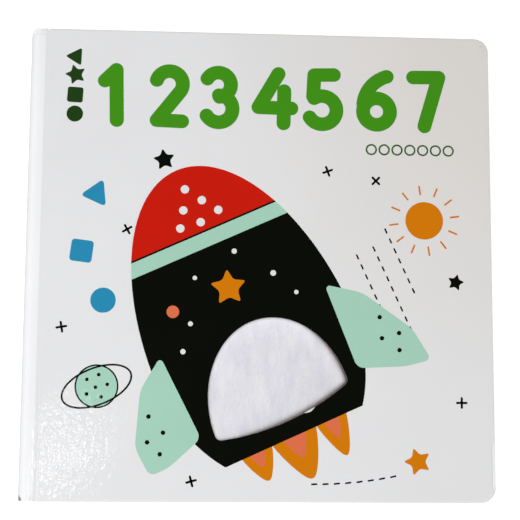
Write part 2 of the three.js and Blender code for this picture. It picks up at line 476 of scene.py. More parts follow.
@dataclass(frozen=True)
class Finish:
    """A surface finish. Each kind adds its own nodes in paint."""

    name: str
    colour: Colour

    def make(self) -> bpy.types.Material:
        """Builds the material, or gives it again.

        Returns:
            The material.
        """
        if self.name not in bpy.data.materials:
            self.paint(NodeSheet(self.name))
        return bpy.data.materials[self.name]

    def paint(self, sheet: NodeSheet) -> None:
        """Adds the finish's nodes to its sheet."""
        raise NotImplementedError

    def shades(self, sheet: NodeSheet, share: Socket, dark: float, light: float) -> Socket:
        """Goes from the colour darkened to the colour lightened, each by what it is multiplied by."""
        return sheet.mix(share, toned(self.colour, dark), toned(self.colour, light))


@dataclass(frozen=True)
class Laminate(Finish):
    """Printed board under a glossy film, with the faint orange peel of the film."""

    gloss: float = 0.07
    peel: float = 0.16
    mottle: float = 0.012
    cloud_scale: float = 26
    gloss_scale: float = 60
    gloss_spread: float = 0.05
    slow_scale: float = 150
    slow_depth: float = 0.35 * MM
    pucker_scale: float = 420
    pucker_depth: float = 0.2 * MM
    puckered: Place = (-82 * MM, -78 * MM, 21.9 * MM)
    puckered_shape: Place = (1, 0.75, 1)
    puckered_reach: Point = (12 * MM, 27 * MM)
    puckers: float = 4.8
    puckers_elsewhere: float = 0.12

    def paint(self, sheet: NodeSheet) -> None:
        """Adds mottled colour under the film."""
        self.film(sheet, self.ground(sheet), self.waves(sheet))

    def ground(self, sheet: NodeSheet) -> Socket:
        """Gives the mottled colour of the board."""
        clouds = sheet.span(sheet.noise(self.cloud_scale, 3, 0.55), 0.35, 0.65)
        return self.shades(sheet, clouds, 1 - self.mottle, 1 + self.mottle)

    def film(self, sheet: NodeSheet, colour: Socket, normal: Socket) -> None:
        """Lays the film, a little uneven in its gloss, over a colour.

        Args:
            sheet: The material's nodes.
            colour: The colour.
            normal: The film's bumped normal.
        """
        patches = sheet.noise(self.gloss_scale, 3)
        gloss = sheet.span(patches, 0.3, 0.7, self.gloss, self.gloss + self.gloss_spread)
        sheet.set(Base_Color=colour, Roughness=gloss, Normal=normal)

    def waves(self, sheet: NodeSheet) -> Socket:
        """Adds the waves of the film: long slow ones, and puckers that break up a reflection.

        Args:
            sheet: The material's nodes.

        Returns:
            The bumped normal.
        """
        long_waves = sheet.noise(self.slow_scale, 2, 0.5, sheet.stretch((1, 0.5, 1), 12))
        slow = sheet.bump(long_waves, self.peel, self.slow_depth)
        fine = sheet.noise(self.pucker_scale, 2, 0.6, sheet.stretch((1, 0.75, 1), 20))
        away = sheet.reach(self.puckered, self.puckered_shape)
        gathered = sheet.span(away, *self.puckered_reach, 1, self.puckers_elsewhere)
        return sheet.bump(sheet.times(fine, gathered), self.peel * self.puckers, self.pucker_depth, slow)


@dataclass(frozen=True)
class CoverWhite(Laminate):
    """The white ground of the cover, with painted shade in the pressed line along its fore-edge, a painted
    highlight on the rim beyond it, and worn corners.
    """

    # The pressed line is darkened as painted shade in its groove. The strip beyond it is lightened as a
    # painted highlight on the rolled rim.
    line_x: float = 103.2 * MM
    line_low: float = -101 * MM
    line_high: float = -78 * MM
    line_fade_high: float = 4 * MM
    line_fade_low: float = 3 * MM
    line_half: Point = (0.05 * MM, 0.3 * MM)
    line_shade: float = 0.3
    line_depth: float = 0.3 * MM
    rim_start: float = 0.1 * MM
    rim_end: float = 0.6 * MM
    worn_corner: Place = (102.4 * MM, 101.6 * MM, 21.5 * MM)
    # Where the ground turns warmer, towards the top right corner.
    warm_corner: Place = (105 * MM, 92 * MM, 21.9 * MM)
    worn_reach: Point = (1.4 * MM, 3.2 * MM)
    worn_dark: float = 0.35
    fleck_scale: float = 1000
    warm_reach: Point = (30 * MM, 130 * MM)
    warm_tint: Colour = srgb(225, 221, 217)
    # Lightening of the rim beyond the line: a painted highlight.
    rim_highlight: float = 1.19
    # Darkening shared by the line's painted shade and the real worn flecks.
    wear_and_shade: float = 0.55

    def paint(self, sheet: NodeSheet) -> None:
        """Adds the ground, warmer towards its top right, the pressed line with painted shade, a painted
        highlight on the rim beyond it, and the corner's worn flecks.

        Args:
            sheet: The material's nodes.
        """
        x, y = sheet.axis("X"), sheet.axis("Y")
        below = sheet.span(y, self.line_high - self.line_fade_high, self.line_high, 1, 0)
        length = sheet.times(below, sheet.span(y, self.line_low, self.line_low + self.line_fade_low))
        line = sheet.times(sheet.span(sheet.off(x, self.line_x), *self.line_half, 1, 0), length)
        # Where the painted highlight on the rolled rim lies.
        beyond = sheet.times(sheet.span(x, self.line_x + self.rim_start, self.line_x + self.rim_end), length)
        # The ground turns warmer towards the top right corner.
        near = sheet.span(sheet.reach(self.warm_corner, (1, 0.8, 1)), *self.warm_reach, 1, 0)
        ground = sheet.mix(near, self.ground(sheet), self.warm_tint)
        pale = sheet.mix(beyond, ground, toned(self.colour, self.rim_highlight))
        away = sheet.reach(self.worn_corner, (1, 0.55, 0.5))
        corner = sheet.span(away, *self.worn_reach, self.worn_dark, 0)
        flecks = sheet.times(sheet.span(sheet.noise(self.fleck_scale, 2, 0.6), 0.52, 0.62), corner)
        # Painted shade of the line, and the real worn flecks at the corner.
        marks = sheet.maths("MAXIMUM", sheet.times(line, self.line_shade), flecks)
        colour = sheet.mix(marks, pale, toned(self.colour, self.wear_and_shade))
        self.film(sheet, colour, sheet.bump(line, -0.6, self.line_depth, self.waves(sheet)))


@dataclass(frozen=True)
class SpineWhite(Laminate):
    """The white film of the spine, with a spot of painted shadow at its tail, painted shade down its back,
    and a few short cracks.
    """

    # A spot of painted shadow at the tail, beside the crumpled corner.
    spot: Place = (-105.2 * MM, -105.0 * MM, 17.6 * MM)
    spot_radius: float = 1.9 * MM
    spot_shape: Place = (0.8, 1.1, 0.35)
    spot_ragged: float = 0.3 * MM
    spot_shade: float = 0.85
    spot_core: float = 0.55
    spot_shadow_colour: Colour = srgb(70, 70, 74)
    tail_crack: Place = (-99.4 * MM, -104.6 * MM, 20.9 * MM)
    head_crack: Place = (-100.6 * MM, 104.9 * MM, 20.6 * MM)
    tail_reach: Point = (1.2 * MM, 2.4 * MM)
    head_reach: Point = (1.4 * MM, 2.8 * MM)
    crack_strength: float = 0.28
    crack_depth: float = 0.2 * MM
    # Painted shade: the back grows greyer as it turns down, away from the light.
    grey_from: float = 16 * MM
    grey_to: float = 20.6 * MM
    grey_share: float = 0.55
    back_shade: float = 0.82

    def paint(self, sheet: NodeSheet) -> None:
        """Adds the ground, greyer down the back as painted shade, the spot of painted shadow at the tail, and
        the cracks.

        Args:
            sheet: The material's nodes.
        """
        # Painted shade down the turned-away back.
        low = sheet.span(sheet.axis("Z"), self.grey_from, self.grey_to, self.grey_share, 0)
        ground = sheet.mix(low, self.ground(sheet), toned(self.colour, self.back_shade))
        # Painted shadow spot at the tail, with a ragged edge.
        ragged = sheet.span(sheet.noise(900, 3, 0.6), 0.2, 0.8, -self.spot_ragged, self.spot_ragged)
        worn = sheet.maths("ADD", sheet.reach(self.spot, self.spot_shape), ragged)
        spot = sheet.span(worn, self.spot_radius * self.spot_core, self.spot_radius, self.spot_shade, 0)
        lines = sheet.noise(420, 1, 0.4, sheet.stretch((1, 1.6, 1), 42))
        tail = sheet.span(sheet.reach(self.tail_crack, (0.75, 1, 0.5)), *self.tail_reach, 1, 0)
        head = sheet.span(sheet.reach(self.head_crack, (0.6, 1, 0.5)), *self.head_reach, 1, 0)
        thin = sheet.span(sheet.off(lines, 0.5), 0.008, 0.03, 1, 0)
        crack = sheet.times(thin, sheet.maths("MAXIMUM", tail, head))
        mark = sheet.maths("MAXIMUM", spot, sheet.times(crack, self.crack_strength))
        colour = sheet.mix(mark, ground, self.spot_shadow_colour)
        self.film(sheet, colour, sheet.bump(crack, -0.7, self.crack_depth, self.waves(sheet)))


@dataclass(frozen=True)
class LeafStock(Finish):
    """A board leaf: film on its faces, two tinted outer pages, and raw layered board on its cut edges."""

    first_field: Colour = srgb(188, 220, 204)
    last_field: Colour = srgb(243, 205, 150)
    core: Colour = srgb(214, 210, 200)
    skin: Colour = srgb(236, 235, 232)
    page_start: float = 0.4 * MM
    page_full: float = 0.2 * MM

    def paint(self, sheet: NodeSheet) -> None:
        """Adds the layers of the cut edges, and the faces where the surface lies flat.

        Args:
            sheet: The material's nodes.
        """
        depth = sheet.maths("SUBTRACT", sheet.axis("Z"), BOOK.block_bottom)
        share = sheet.maths("DIVIDE", sheet.maths("MODULO", depth, BOOK.leaf_pitch), BOOK.leaf)
        fibres = sheet.noise(900, 4, 0.7, sheet.stretch((0.25, 0.25, 6)))
        wander = sheet.maths("ADD", sheet.off(share, 0.5), sheet.span(fibres, 0.2, 0.8, -0.09, 0.09))
        edge = sheet.mix(sheet.span(wander, 0.3, 0.42), self.core, self.skin)
        upright = sheet.node("SeparateXYZ", "Z", {"Vector": sheet.node("NewGeometry", "Normal", {})})
        flat = sheet.span(sheet.maths("ABSOLUTE", upright), 0.6, 0.85)
        top = BOOK.block_top - BOOK.block_bottom
        first = sheet.span(depth, top - self.page_start, top - self.page_full)
        upper = sheet.mix(first, self.colour, self.first_field)
        faces = sheet.mix(sheet.span(depth, self.page_full, self.page_start), self.last_field, upper)
        gloss = sheet.span(flat, 0, 1, 0.85, 0.3)
        raised = sheet.bump(fibres, 0.25, 0.00008)
        sheet.set(Base_Color=sheet.mix(flat, edge, faces), Roughness=gloss, Normal=raised)


@dataclass(frozen=True)
class PlainPaper(Finish):
    """Satin paper with fine fibres, for linings and gutters."""

    gloss: float = 0.38

    def paint(self, sheet: NodeSheet) -> None:
        """Adds faint clouds and fine fibres.

        Args:
            sheet: The material's nodes.
        """
        fibres = sheet.noise(1400, 4, 0.65)
        clouds = sheet.span(sheet.noise(35, 3), 0.3, 0.7)
        sheet.set(
            Base_Color=self.shades(sheet, clouds, 0.98, 1.01),
            Roughness=sheet.span(fibres, 0.3, 0.7, self.gloss, self.gloss + 0.12),
            Normal=sheet.bump(fibres, 0.12, 0.00005),
        )


@dataclass(frozen=True)
class PlushPile(Finish):
    """White short-pile plush. The pile's own tone and its shade at the window's edge come from attributes."""

    dark: Colour = srgb(240, 239, 247)
    shade: Colour = srgb(104, 86, 79)
    tone_share: float = 0.22
    streak_share: float = 0.7
    patch_share: float = 0.25

    def paint(self, sheet: NodeSheet) -> None:
        """Adds the blades' own tone, streaks and patches along the lie of the pile, and its shade.

        Args:
            sheet: The material's nodes.
        """
        tone = sheet.node("Attribute", "Fac", {}, attribute_name="pile_tone")
        edge = sheet.node("Attribute", "Fac", {}, attribute_name="edge_shade")
        streaks = sheet.noise(330, 3, 0.55, sheet.stretch((1, 0.2, 1), 8))
        patches = sheet.span(sheet.noise(150, 2, 0.5, sheet.stretch((1, 0.4, 1), 14)), 0.3, 0.7)
        own = sheet.times(tone, self.tone_share)
        for pattern, share in ((streaks, self.streak_share), (patches, self.patch_share)):
            own = sheet.maths("ADD", own, sheet.times(pattern, share))
        own = sheet.span(own, 0.35, 0.85)
        sheet.set(
            Base_Color=sheet.mix(edge, sheet.mix(own, self.dark, self.colour), self.shade),
            Roughness=1.0,
            Sheen_Weight=0.25,
            Sheen_Roughness=0.5,
            Specular_IOR_Level=0.1,
            Normal=sheet.bump(streaks, 0.3, 0.0004),
        )


@dataclass(frozen=True)
class Cloth(Finish):
    """Woven or felted cloth of a page patch."""

    scale: float
    nap: float = 0.5

    def paint(self, sheet: NodeSheet) -> None:
        """Adds the cloth's fibres.

        Args:
            sheet: The material's nodes.
        """
        fibres = sheet.noise(self.scale, 5, 0.7)
        sheet.set(
            Base_Color=self.shades(sheet, sheet.span(fibres, 0.3, 0.7), 0.78, 1.12),
            Roughness=0.95,
            Sheen_Weight=0.4,
            Specular_IOR_Level=0.15,
            Normal=sheet.bump(fibres, self.nap, 0.0003),
        )


class Ink(Enum):
    """Printing inks of the cover, with the colour of each."""

    BLACK = srgb(9, 11, 6)
    GRASS = srgb(66, 145, 25)
    PINE = srgb(32, 64, 22)
    STEM = srgb(52, 96, 40)
    MINT = srgb(165, 208, 188)
    RED = srgb(200, 28, 12)
    ORANGE = srgb(212, 122, 8)
    CORAL = srgb(220, 112, 74)
    BLUE = srgb(42, 138, 178)
    WHITE = srgb(226, 227, 226)


WHITE_BOARD = CoverWhite("white_board", srgb(229, 229, 230))
WHITE_BACK = Laminate("white_back", srgb(229, 229, 230))
WHITE_SPINE = SpineWhite("white_spine", srgb(241, 241, 243), peel=0.12)
LEAF_STOCK = LeafStock("leaf_stock", srgb(232, 231, 228))
PAPER_WHITE = PlainPaper("paper_white", srgb(232, 232, 233), 0.28)
LINING_PAPER = PlainPaper("lining_paper", srgb(234, 233, 230), 0.32)
# The bed is darker than the pile: painted shade where it shows between the blades.
PLUSH_GROUND = PlushPile("plush_ground", srgb(243, 242, 249), srgb(236, 235, 244))
WHITE_PLUSH = PlushPile("white_plush", srgb(255, 254, 255))
BLUE_CLOTH = Cloth("blue_ribbed_cloth", srgb(42, 138, 178), 1600)
ORANGE_FELT = Cloth("orange_felt", srgb(212, 122, 8), 2400, 0.8)


def dress(piece: Piece, finish: Finish) -> None:
    """Gives a piece its finish.

    Args:
        piece: The piece.
        finish: Its finish.
    """
    piece.data.materials.clear()
    piece.data.materials.append(finish.make())


def seat(piece: Piece, finish: Finish, body: Body, node: str) -> Piece:
    """Dresses a piece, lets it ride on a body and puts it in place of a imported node.

    Args:
        piece: The piece.
        finish: Its finish.
        body: The body that carries it.
        node: The node that it replaces.

    Returns:
        The piece.
    """
    dress(piece, finish)
    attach(piece, body.value)
    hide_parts(node)
    return piece


@dataclass
class Panel:
    """A flat board, square at the crease and rounded at its two fore-edge corners, with rolled rims.

    A narrow ring inside each rolled rim keeps the flat face flat in its shading.
    """

    name: str
    left: float
    right: float
    bottom: float
    top: float
    corner: float = BOOK.corner
    roll_top: float = 0.0
    roll_bottom: float = 0.0
    height: float = BOOK.height
    steps: int = 5
    corner_steps: int = 18
    hinge_roll: float = 0.22 * MM
    hinge_steps: int = 3
    ring: float = 0.04 * MM

    def build(self) -> Piece:
        """Builds the board.

        Returns:
            The board.
        """
        Bench.clear()
        size = (self.right - self.left, self.height, self.top - self.bottom)
        middle = ((self.left + self.right) / 2, 0, (self.bottom + self.top) / 2)
        bpy.ops.mesh.primitive_cube_add(size=1, location=middle, scale=size)
        board = Bench.take(self.name)
        Bench.bevel(board, self.corner, self.corner_steps, self._at_corner)
        for level, roll in ((self.top, self.roll_top), (self.bottom, self.roll_bottom)):
            if roll <= 0:
                continue
            Bench.bevel(board, roll, self.steps, lambda a, b: self._on_rim(a, b, level, False))
            small = min(roll, self.hinge_roll)
            Bench.bevel(board, small, self.hinge_steps, lambda a, b: self._on_rim(a, b, level, True))
            with Bench.edit(board, Pick.FACES, lambda c, n: abs(c.z - level) < SLACK and abs(n.z) > 0.999):
                bpy.ops.mesh.inset(thickness=self.ring, depth=0)
        return board

    def _at_corner(self, a: Vector, b: Vector) -> bool:
        """Says whether an edge is an upright one at the fore-edge."""
        return min(a.x, b.x) > self.right - SLACK and upright(a, b)

    def _on_rim(self, a: Vector, b: Vector, level: float, at_hinge: bool) -> bool:
        """Says whether an edge lies on a face's rim, at the hinge or elsewhere."""
        flat = abs(a.z - level) < SLACK and abs(b.z - level) < SLACK
        return flat and (max(a.x, b.x) < self.left + SLACK) == at_hinge


@dataclass
class Window:
    """The die-cut window of the front cover: a leaning dome on a shallow bowed base, tilted."""

    half_width: float = 32 * MM
    height: float = 42.1 * MM
    bow: float = 4.8 * MM
    reach: float = 2.4 * MM
    lean: float = 0.059
    tilt: float = 24.4
    x: float = 10.3 * MM
    y: float = -66.3 * MM
    middle: float = 0.36
    vertices: int = 144

    def base_line(self, x: float) -> float:
        """Gives the height of the lower edge in the window's own upright frame.

        Args:
            x: Place along the base.

        Returns:
            Height of the edge there.
        """
        bend = self.half_width - self.reach
        size = min(abs(x), self.half_width)
        if size < bend:
            return self.bow * ((size / self.half_width) ** 2 - 1)
        start = self.bow * ((bend / self.half_width) ** 2 - 1)
        turn = 1 - math.sqrt(max(0.0, 1 - (size - bend) / self.reach))
        return (1 - turn) ** 2 * start + turn**2 * self.reach

    def outline(self, name: str, grow: float = 0.0) -> Piece:
        """Makes the filled outline of the window, flat at Z 0.

        Args:
            name: Name of the shape.
            grow: How far the outline is grown, or shrunk where negative.

        Returns:
            The shape.
        """
        Bench.clear()
        bpy.ops.mesh.primitive_circle_add(vertices=self.vertices, radius=1, fill_type="NGON")
        shape = Bench.take(name)
        with Bench.edit(shape):
            bpy.ops.transform.resize(value=(self.half_width, self.height - self.reach, 1))
        for vert in shape.data.vertices:
            if vert.co.y < 0:
                vert.co.y = self.base_line(vert.co.x) - self.reach
        grown = (1 + grow / self.half_width, 1 + 2 * grow / self.height, 1)
        with Bench.edit(shape):
            bpy.ops.transform.translate(value=(0, self.reach, 0))
            bpy.ops.transform.resize(value=grown, center_override=(0, self.height * self.middle, 0))
        for vert in shape.data.vertices:
            vert.co.x += self.lean * max(vert.co.y - self.reach, 0)
        Bench.place(shape, self.x, self.y, 0, self.tilt)
        return shape

    def cut(self, piece: Piece) -> None:
        """Cuts the window out of a piece.

        Args:
            piece: The piece.
        """
        cutter = self.outline("window_cutter")
        Bench.lift(cutter, 50 * MM)
        Bench.cut(piece, cutter)

    def contour(self, grow: float) -> np.ndarray:
        """Gives the outline's corners in order.

        Args:
            grow: How far the outline is grown.

        Returns:
            One row of X and Y for each corner.
        """
        shape = self.outline("window_contour", grow)
        ring = [shape.data.vertices[i].co for i in shape.data.polygons[0].vertices]
        corners = np.array([(co.x, co.y) for co in ring])
        Bench.discard(shape)
        return corners


WINDOW = Window()


@dataclass
class Covers:
    """The boards and linings of both covers."""

    roll: float = 1.1 * MM
    front_inner_roll: float = 0.35 * MM
    back_inner_roll: float = 0.3 * MM

    def build(self) -> list[Piece]:
        """Builds each cover's board and lining.

        Returns:
            The pieces.
        """
        left, right = BOOK.panel_start, BOOK.fore_edge
        short = right - BOOK.front_set_back
        between = BOOK.front_board_bottom
        front_board = Panel("front_panel", left, short, between, BOOK.thickness, roll_top=self.roll)
        front_lining = Panel("front_lining_board", left, short, BOOK.front_bottom, between, steps=3)
        front_lining.roll_bottom = self.front_inner_roll
        back_board = Panel("back_panel", left, right, 0, BOOK.board, roll_bottom=self.roll)
        back_lining = Panel("back_lining_board", left, right, BOOK.board, BOOK.back_inner, steps=3)
        back_lining.roll_top = self.back_inner_roll
        pieces = []
        for panel, sharp, finish, slot, body, node in (
            (front_board, 40, WHITE_BOARD, Slot.LAMINATED, Body.FRONT, "front_board"),
            (front_lining, 35, LINING_PAPER, Slot.LINING, Body.FRONT, "front_lining"),
            (back_board, 40, WHITE_BACK, Slot.LAMINATED, Body.BACK, "back_board"),
            (back_lining, 35, LINING_PAPER, Slot.LINING, Body.BACK, "back_lining"),
        ):
            piece = panel.build()
            if panel is front_board:
                WINDOW.cut(piece)
            Bench.smooth(piece, sharp)
            pieces.append(seat(piece, finish, body, node))
        return pieces


@dataclass
class Spine:
    """The folded spine of the cover, a little crumpled at its head and dented at its tail."""

    wall: float = 0.8 * MM
    round_radius: float = 5.8 * MM
    swell: float = 0.8 * MM
    flat: float = 1.05 * MM
    bow: float = 0.5 * MM
    crease_depth: float = 0.5 * MM
    head_corner: float = 2.4 * MM
    tail_corner: float = 0.9 * MM
    crumple: float = 1.3 * MM
    crumple_grain: float = 1.9 * MM
    head_wear: float = 5 * MM
    tail_wear: float = 4 * MM
    wear_bottom: float = 8 * MM
    wear_rise: float = 8 * MM
    lip_margin: float = 1.6 * MM
    strip_inset: float = 4.4 * MM
    strip_gap: float = 0.05 * MM
    strip_room: float = 0.35 * MM
    strip_short: float = 2 * MM
    strip_corner: float = 0.1 * MM
    rows: int = 260
    corner_steps: int = 9
    lip_steps: int = 6
    back_steps: int = 8

    @property
    def left(self) -> float:
        """X of the film's back at its upper and lower ends, from where it bows out past the solid's."""
        return BOOK.spine_back - self.swell + self.bow

    def build(self) -> Piece:
        """Builds the spine from a strip along its top, drawn round both corners.

        Returns:
            The spine.
        """
        start = self.left + self.round_radius
        top = BOOK.thickness
        middle = (start + self.flat / 2, 0, top)
        spine = Bench.sheet("spine_cover", self.flat, BOOK.height, middle, self.rows)
        self._follow(spine, self._lip(start + self.flat, top, -1), 1)
        with Bench.edit(spine, Pick.EDGES, lambda a, b: max(a.x, b.x) < start + SLACK):
            self._turn(start, top - self.round_radius)
        self._follow(spine, self._back(top - self.round_radius), -1)
        with Bench.edit(spine, Pick.EDGES, lambda a, b: max(a.z, b.z) < self.round_radius + SLACK):
            self._turn(start, self.round_radius)
        self._follow(spine, [(start, 0.0), *self._lip(start + self.flat, 0.0, 1)], 1)
        with Bench.edit(spine):
            bpy.ops.mesh.remove_doubles(threshold=SLACK)
            Bench.face_out()
        if sum(poly.normal.x * poly.area for poly in spine.data.polygons) > 0:
            with Bench.edit(spine):
                bpy.ops.mesh.flip_normals()
        Bench.modify(spine, "SOLIDIFY", thickness=self.wall, offset=-1, use_even_offset=True)
        self._wear(spine)
        Bench.join([spine, *self._hinge_strips()], "spine_cover")
        Bench.smooth(spine, 50)
        return seat(spine, WHITE_SPINE, Body.BLOCK, "spine_wrap")

    def _turn(self, x: float, z: float) -> None:
        """Turns the selected edge through a quarter about a line at X and Z."""
        bpy.ops.mesh.spin(steps=self.corner_steps, angle=math.pi / 2, center=(x, 0, z), axis=(0, 1, 0))

    def _lip(self, start: float, level: float, down: int) -> list[Point]:
        """Gives the soft fall of a shoulder towards its crease.

        Args:
            start: X where the fall begins.
            level: Z of the shoulder.
            down: -1 where the crease lies below the shoulder, 1 where it lies above.

        Returns:
            X and Z along the fall.
        """
        turns = [i / self.lip_steps * math.pi / 2 for i in range(self.lip_steps + 1)]
        run, fall = BOOK.shoulder_end - start, down * self.crease_depth
        return [(start + run * math.sin(turn), level + fall * (1 - math.cos(turn))) for turn in turns]

    def _back(self, high: float) -> list[Point]:
        """Gives the line down the bowed back, to the lower corner.

        Args:
            high: Z where the line begins.

        Returns:
            X and Z along the line.
        """
        fall = high - self.round_radius
        shares = [i / self.back_steps for i in range(self.back_steps + 1)]
        return [(self.left - 4 * self.bow * s * (1 - s), high - fall * s) for s in shares]

    def _follow(self, spine: Piece, line: Sequence[Point], side: int) -> None:
        """Draws the strip's free edge on along a line.

        Args:
            spine: The strip.
            line: X and Z of the free edge, then of each place that it is drawn to.
            side: 1 where the free edge is the one nearest the fore-edge, -1 for the one nearest the back.
        """
        for (x, z), (next_x, next_z) in zip(line, line[1:]):

            def free(a: Vector, b: Vector) -> bool:
                """Says whether an edge is the free one."""
                level = abs(a.z - z) < SLACK and abs(b.z - z) < SLACK
                return level and min(side * a.x, side * b.x) > side * x - SLACK

            with Bench.edit(spine, Pick.EDGES, free):
                Bench.draw(next_x - x, next_z - z)

    def _hinge_strips(self) -> list[Piece]:
        """Builds the strips that fill the shoulders, between the folded cover and the outer leaves.

        Returns:
            The strip of the front shoulder and that of the back one.
        """
        left, right = BOOK.spine_back + self.strip_inset, BOOK.shoulder_end - self.strip_gap
        inner = BOOK.thickness - self.wall - self.strip_room
        sizes = {"corner": self.strip_corner, "height": BOOK.height - self.strip_short}
        levels = ((BOOK.block_top, inner), (BOOK.thickness - inner, BOOK.block_bottom))
        return [Panel("hinge_strip", left, right, *pair, **sizes).build() for pair in levels]

    def _wear(self, spine: Piece) -> None:
        """Crumples both ends a little, then rounds the corners at the head and the tail.

        Args:
            spine: The spine.
        """
        group = spine.vertex_groups.new(name="worn_ends")
        half = BOOK.height / 2
        for vert in spine.data.vertices:
            head = max(0.0, 1 - (half - vert.co.y) / self.head_wear)
            tail = max(0.0, 1 - (half + vert.co.y) / self.tail_wear)
            high = min(1.0, max(0.0, (vert.co.z - self.wear_bottom) / self.wear_rise))
            away = min(1.0, max(0.0, (BOOK.shoulder_end - vert.co.x) / self.lip_margin))
            weight = (head**1.2 + 0.6 * tail**1.2) * high * away
            if weight > 0.001:
                group.add([vert.index], min(weight, 1.0), "REPLACE")
        clouds = bpy.data.textures.new("crumple", "CLOUDS")
        clouds.noise_scale = self.crumple_grain
        clouds.noise_depth = 2
        sizes = {"strength": self.crumple, "mid_level": 0.6, "vertex_group": group.name}
        Bench.modify(spine, "DISPLACE", texture=clouds, texture_coords="LOCAL", **sizes)
        for vert in spine.data.vertices:
            for end, radius in ((1, self.head_corner), (-1, self.tail_corner)):
                near = min(max(0.0, self.left + radius - vert.co.x), radius)
                share = max(0.0, 1 - (half - end * vert.co.y) / (4 * radius))
                vert.co.y -= end * (radius - math.sqrt(radius**2 - near**2)) * share


@dataclass
class PageBlock:
    """The board leaves, lying a little unevenly on each other, with a pocket in each outer page.

    The shifts of the leaves along X and Y are in millimetres.
    """

    shifts: tuple[Point, ...] = (
        (0.0, 0.0), (0.06, -0.12), (-0.072, 0.1), (0.048, 0.06), (-0.036, -0.1), (0.024, 0.08),
    )
    short: float = 0.4 * MM
    set_back: float = 0.1 * MM
    first_patch: Place = (8 * MM, -12 * MM, 30 * MM)
    last_patch: Place = (4 * MM, 10 * MM, 25 * MM)
    last_corner: float = 9 * MM
    corner_steps: int = 10
    pocket: float = 1.0 * MM
    rim: float = 0.3 * MM

    def build(self) -> Piece:
        """Builds the leaves as one piece.

        Returns:
            The leaves.
        """
        leaves = []
        height = BOOK.height - self.short
        rims = {"roll_top": self.rim, "roll_bottom": self.rim, "height": height, "steps": 3}
        for i, (shift_x, shift_y) in enumerate(self.shifts):
            bottom = BOOK.block_bottom + i * BOOK.leaf_pitch
            right = BOOK.fore_edge - i * BOOK.leaf_fan + shift_x * MM - self.set_back
            leaf = Panel(f"leaf_{i}", BOOK.leaf_fold, right, bottom, bottom + BOOK.leaf, **rims).build()
            Bench.place(leaf, 0, shift_y * MM, 0)
            if i in (0, BOOK.leaf_count - 1):
                Bench.cut(leaf, self._pocket(i > 0))
            leaves.append(leaf)
        block = Bench.join(leaves, "page_leaves")
        Bench.smooth(block, 40)
        return seat(block, LEAF_STOCK, Body.BLOCK, "page_block")

    def _pocket(self, first: bool) -> Piece:
        """Builds the shape of the pocket that a page patch lies in.

        Args:
            first: Whether it is the round pocket of the first page, or the square one of the last page.

        Returns:
            The shape.
        """
        Bench.clear()
        x, y, reach = self.first_patch if first else self.last_patch
        middle = (x, y, BOOK.block_top if first else BOOK.block_bottom)
        deep = 2 * self.pocket
        if first:
            bpy.ops.mesh.primitive_cylinder_add(vertices=96, radius=reach, depth=deep, location=middle)
            return Bench.take("first_pocket")
        bpy.ops.mesh.primitive_cube_add(size=1, location=middle, scale=(2 * reach, 2 * reach, deep))
        cutter = Bench.take("last_pocket")
        Bench.bevel(cutter, self.last_corner, self.corner_steps, upright)
        return cutter


@dataclass
class Folds:
    """Paper that crosses the hinges: a skin over each crease, and a gutter sheet inside each cover.

    The flaps of a gutter sheet and the section of a crease skin are in millimetres.
    """

    rows: int = 40
    paper: float = 0.05 * MM
    short: float = 1.4 * MM
    bend_start: float = -0.3 * MM
    bend_end: float = 0.5 * MM
    gutter_step: float = 0.07 * MM
    fold_gap: float = 0.12 * MM
    fold_bulge: float = 0.08 * MM
    flaps: tuple[float, ...] = (0.4, 1, 2, 4, 6, 8)
    turns: int = 16
    crease_section: tuple[Point, ...] = (
        (-1.3, 0.0), (-0.95, -0.015), (-0.6, -0.01), (-0.4, 0.01), (-0.22, 0.045), (-0.06, 0.07),
        (0.08, 0.075), (0.22, 0.05), (0.38, 0.01), (0.55, -0.015), (0.85, -0.02), (1.3, 0.03),
    )

    def build(self) -> list[Piece]:
        """Builds the four folds.

        Returns:
            The folds.
        """
        pieces = []
        for name, line, body in (
            ("front_crease_skin", self._crease_line(BOOK.thickness, -1), Body.FRONT),
            ("back_crease_skin", self._crease_line(0.0, 1), Body.BACK),
            ("front_gutter", self._gutter_line(BOOK.block_top, BOOK.front_bottom), Body.FRONT),
            ("back_gutter", self._gutter_line(BOOK.block_bottom, BOOK.back_inner), Body.BACK),
        ):
            piece = self._strip(name, line)
            if "crease" in name:
                dress(piece, WHITE_BOARD)
            else:
                dress(piece, PAPER_WHITE)
            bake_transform(piece)
            pieces.append(piece)
        return pieces

    def _crease_line(self, level: float, down: int) -> list[Point]:
        """Gives X and Z along a crease skin, at a level, with its crease down by -1 or up by 1."""
        return [(BOOK.crease + x * MM, level + down * depth * MM) for x, depth in self.crease_section]

    def _gutter_line(self, page: float, lining: float) -> list[Point]:
        """Gives the section of a gutter sheet, folded once between a page and a lining.

        Args:
            page: Z of the page.
            lining: Z of the lining's inner face.

        Returns:
            X and Z along the section.
        """
        step = math.copysign(self.gutter_step, lining - page)
        fold = BOOK.shoulder_end + self.fold_gap
        rise = lining - page - 2 * step
        line = [(fold + x * MM, page + step) for x in reversed(self.flaps)]
        for share in (i / self.turns for i in range(self.turns + 1)):
            line.append((fold - math.sin(share * math.pi) * self.fold_bulge, page + step + rise * share))
        return line + [(fold + x * MM, lining - step) for x in self.flaps]

    def _strip(self, name: str, line: list[Point]) -> Piece:
        """Draws a section out along the book's height.

        Args:
            name: Name of the strip.
            line: X and Z along the section.

        Returns:
            The strip, with a little thickness.
        """
        x, z = line[0]
        strip = Bench.sheet(name, 1, BOOK.height - self.short, (x + 0.5, 0, z), self.rows)
        with Bench.edit(strip, Pick.VERTS, lambda co: co.x > 0):
            bpy.ops.mesh.delete(type="VERT")
        with Bench.edit(strip):
            for here, there in zip(line, line[1:]):
                Bench.draw(there[0] - here[0], there[1] - here[1])
            Bench.face_out()
        Bench.modify(strip, "SOLIDIFY", thickness=self.paper, offset=0)
        Bench.smooth(strip, 60)
        return strip


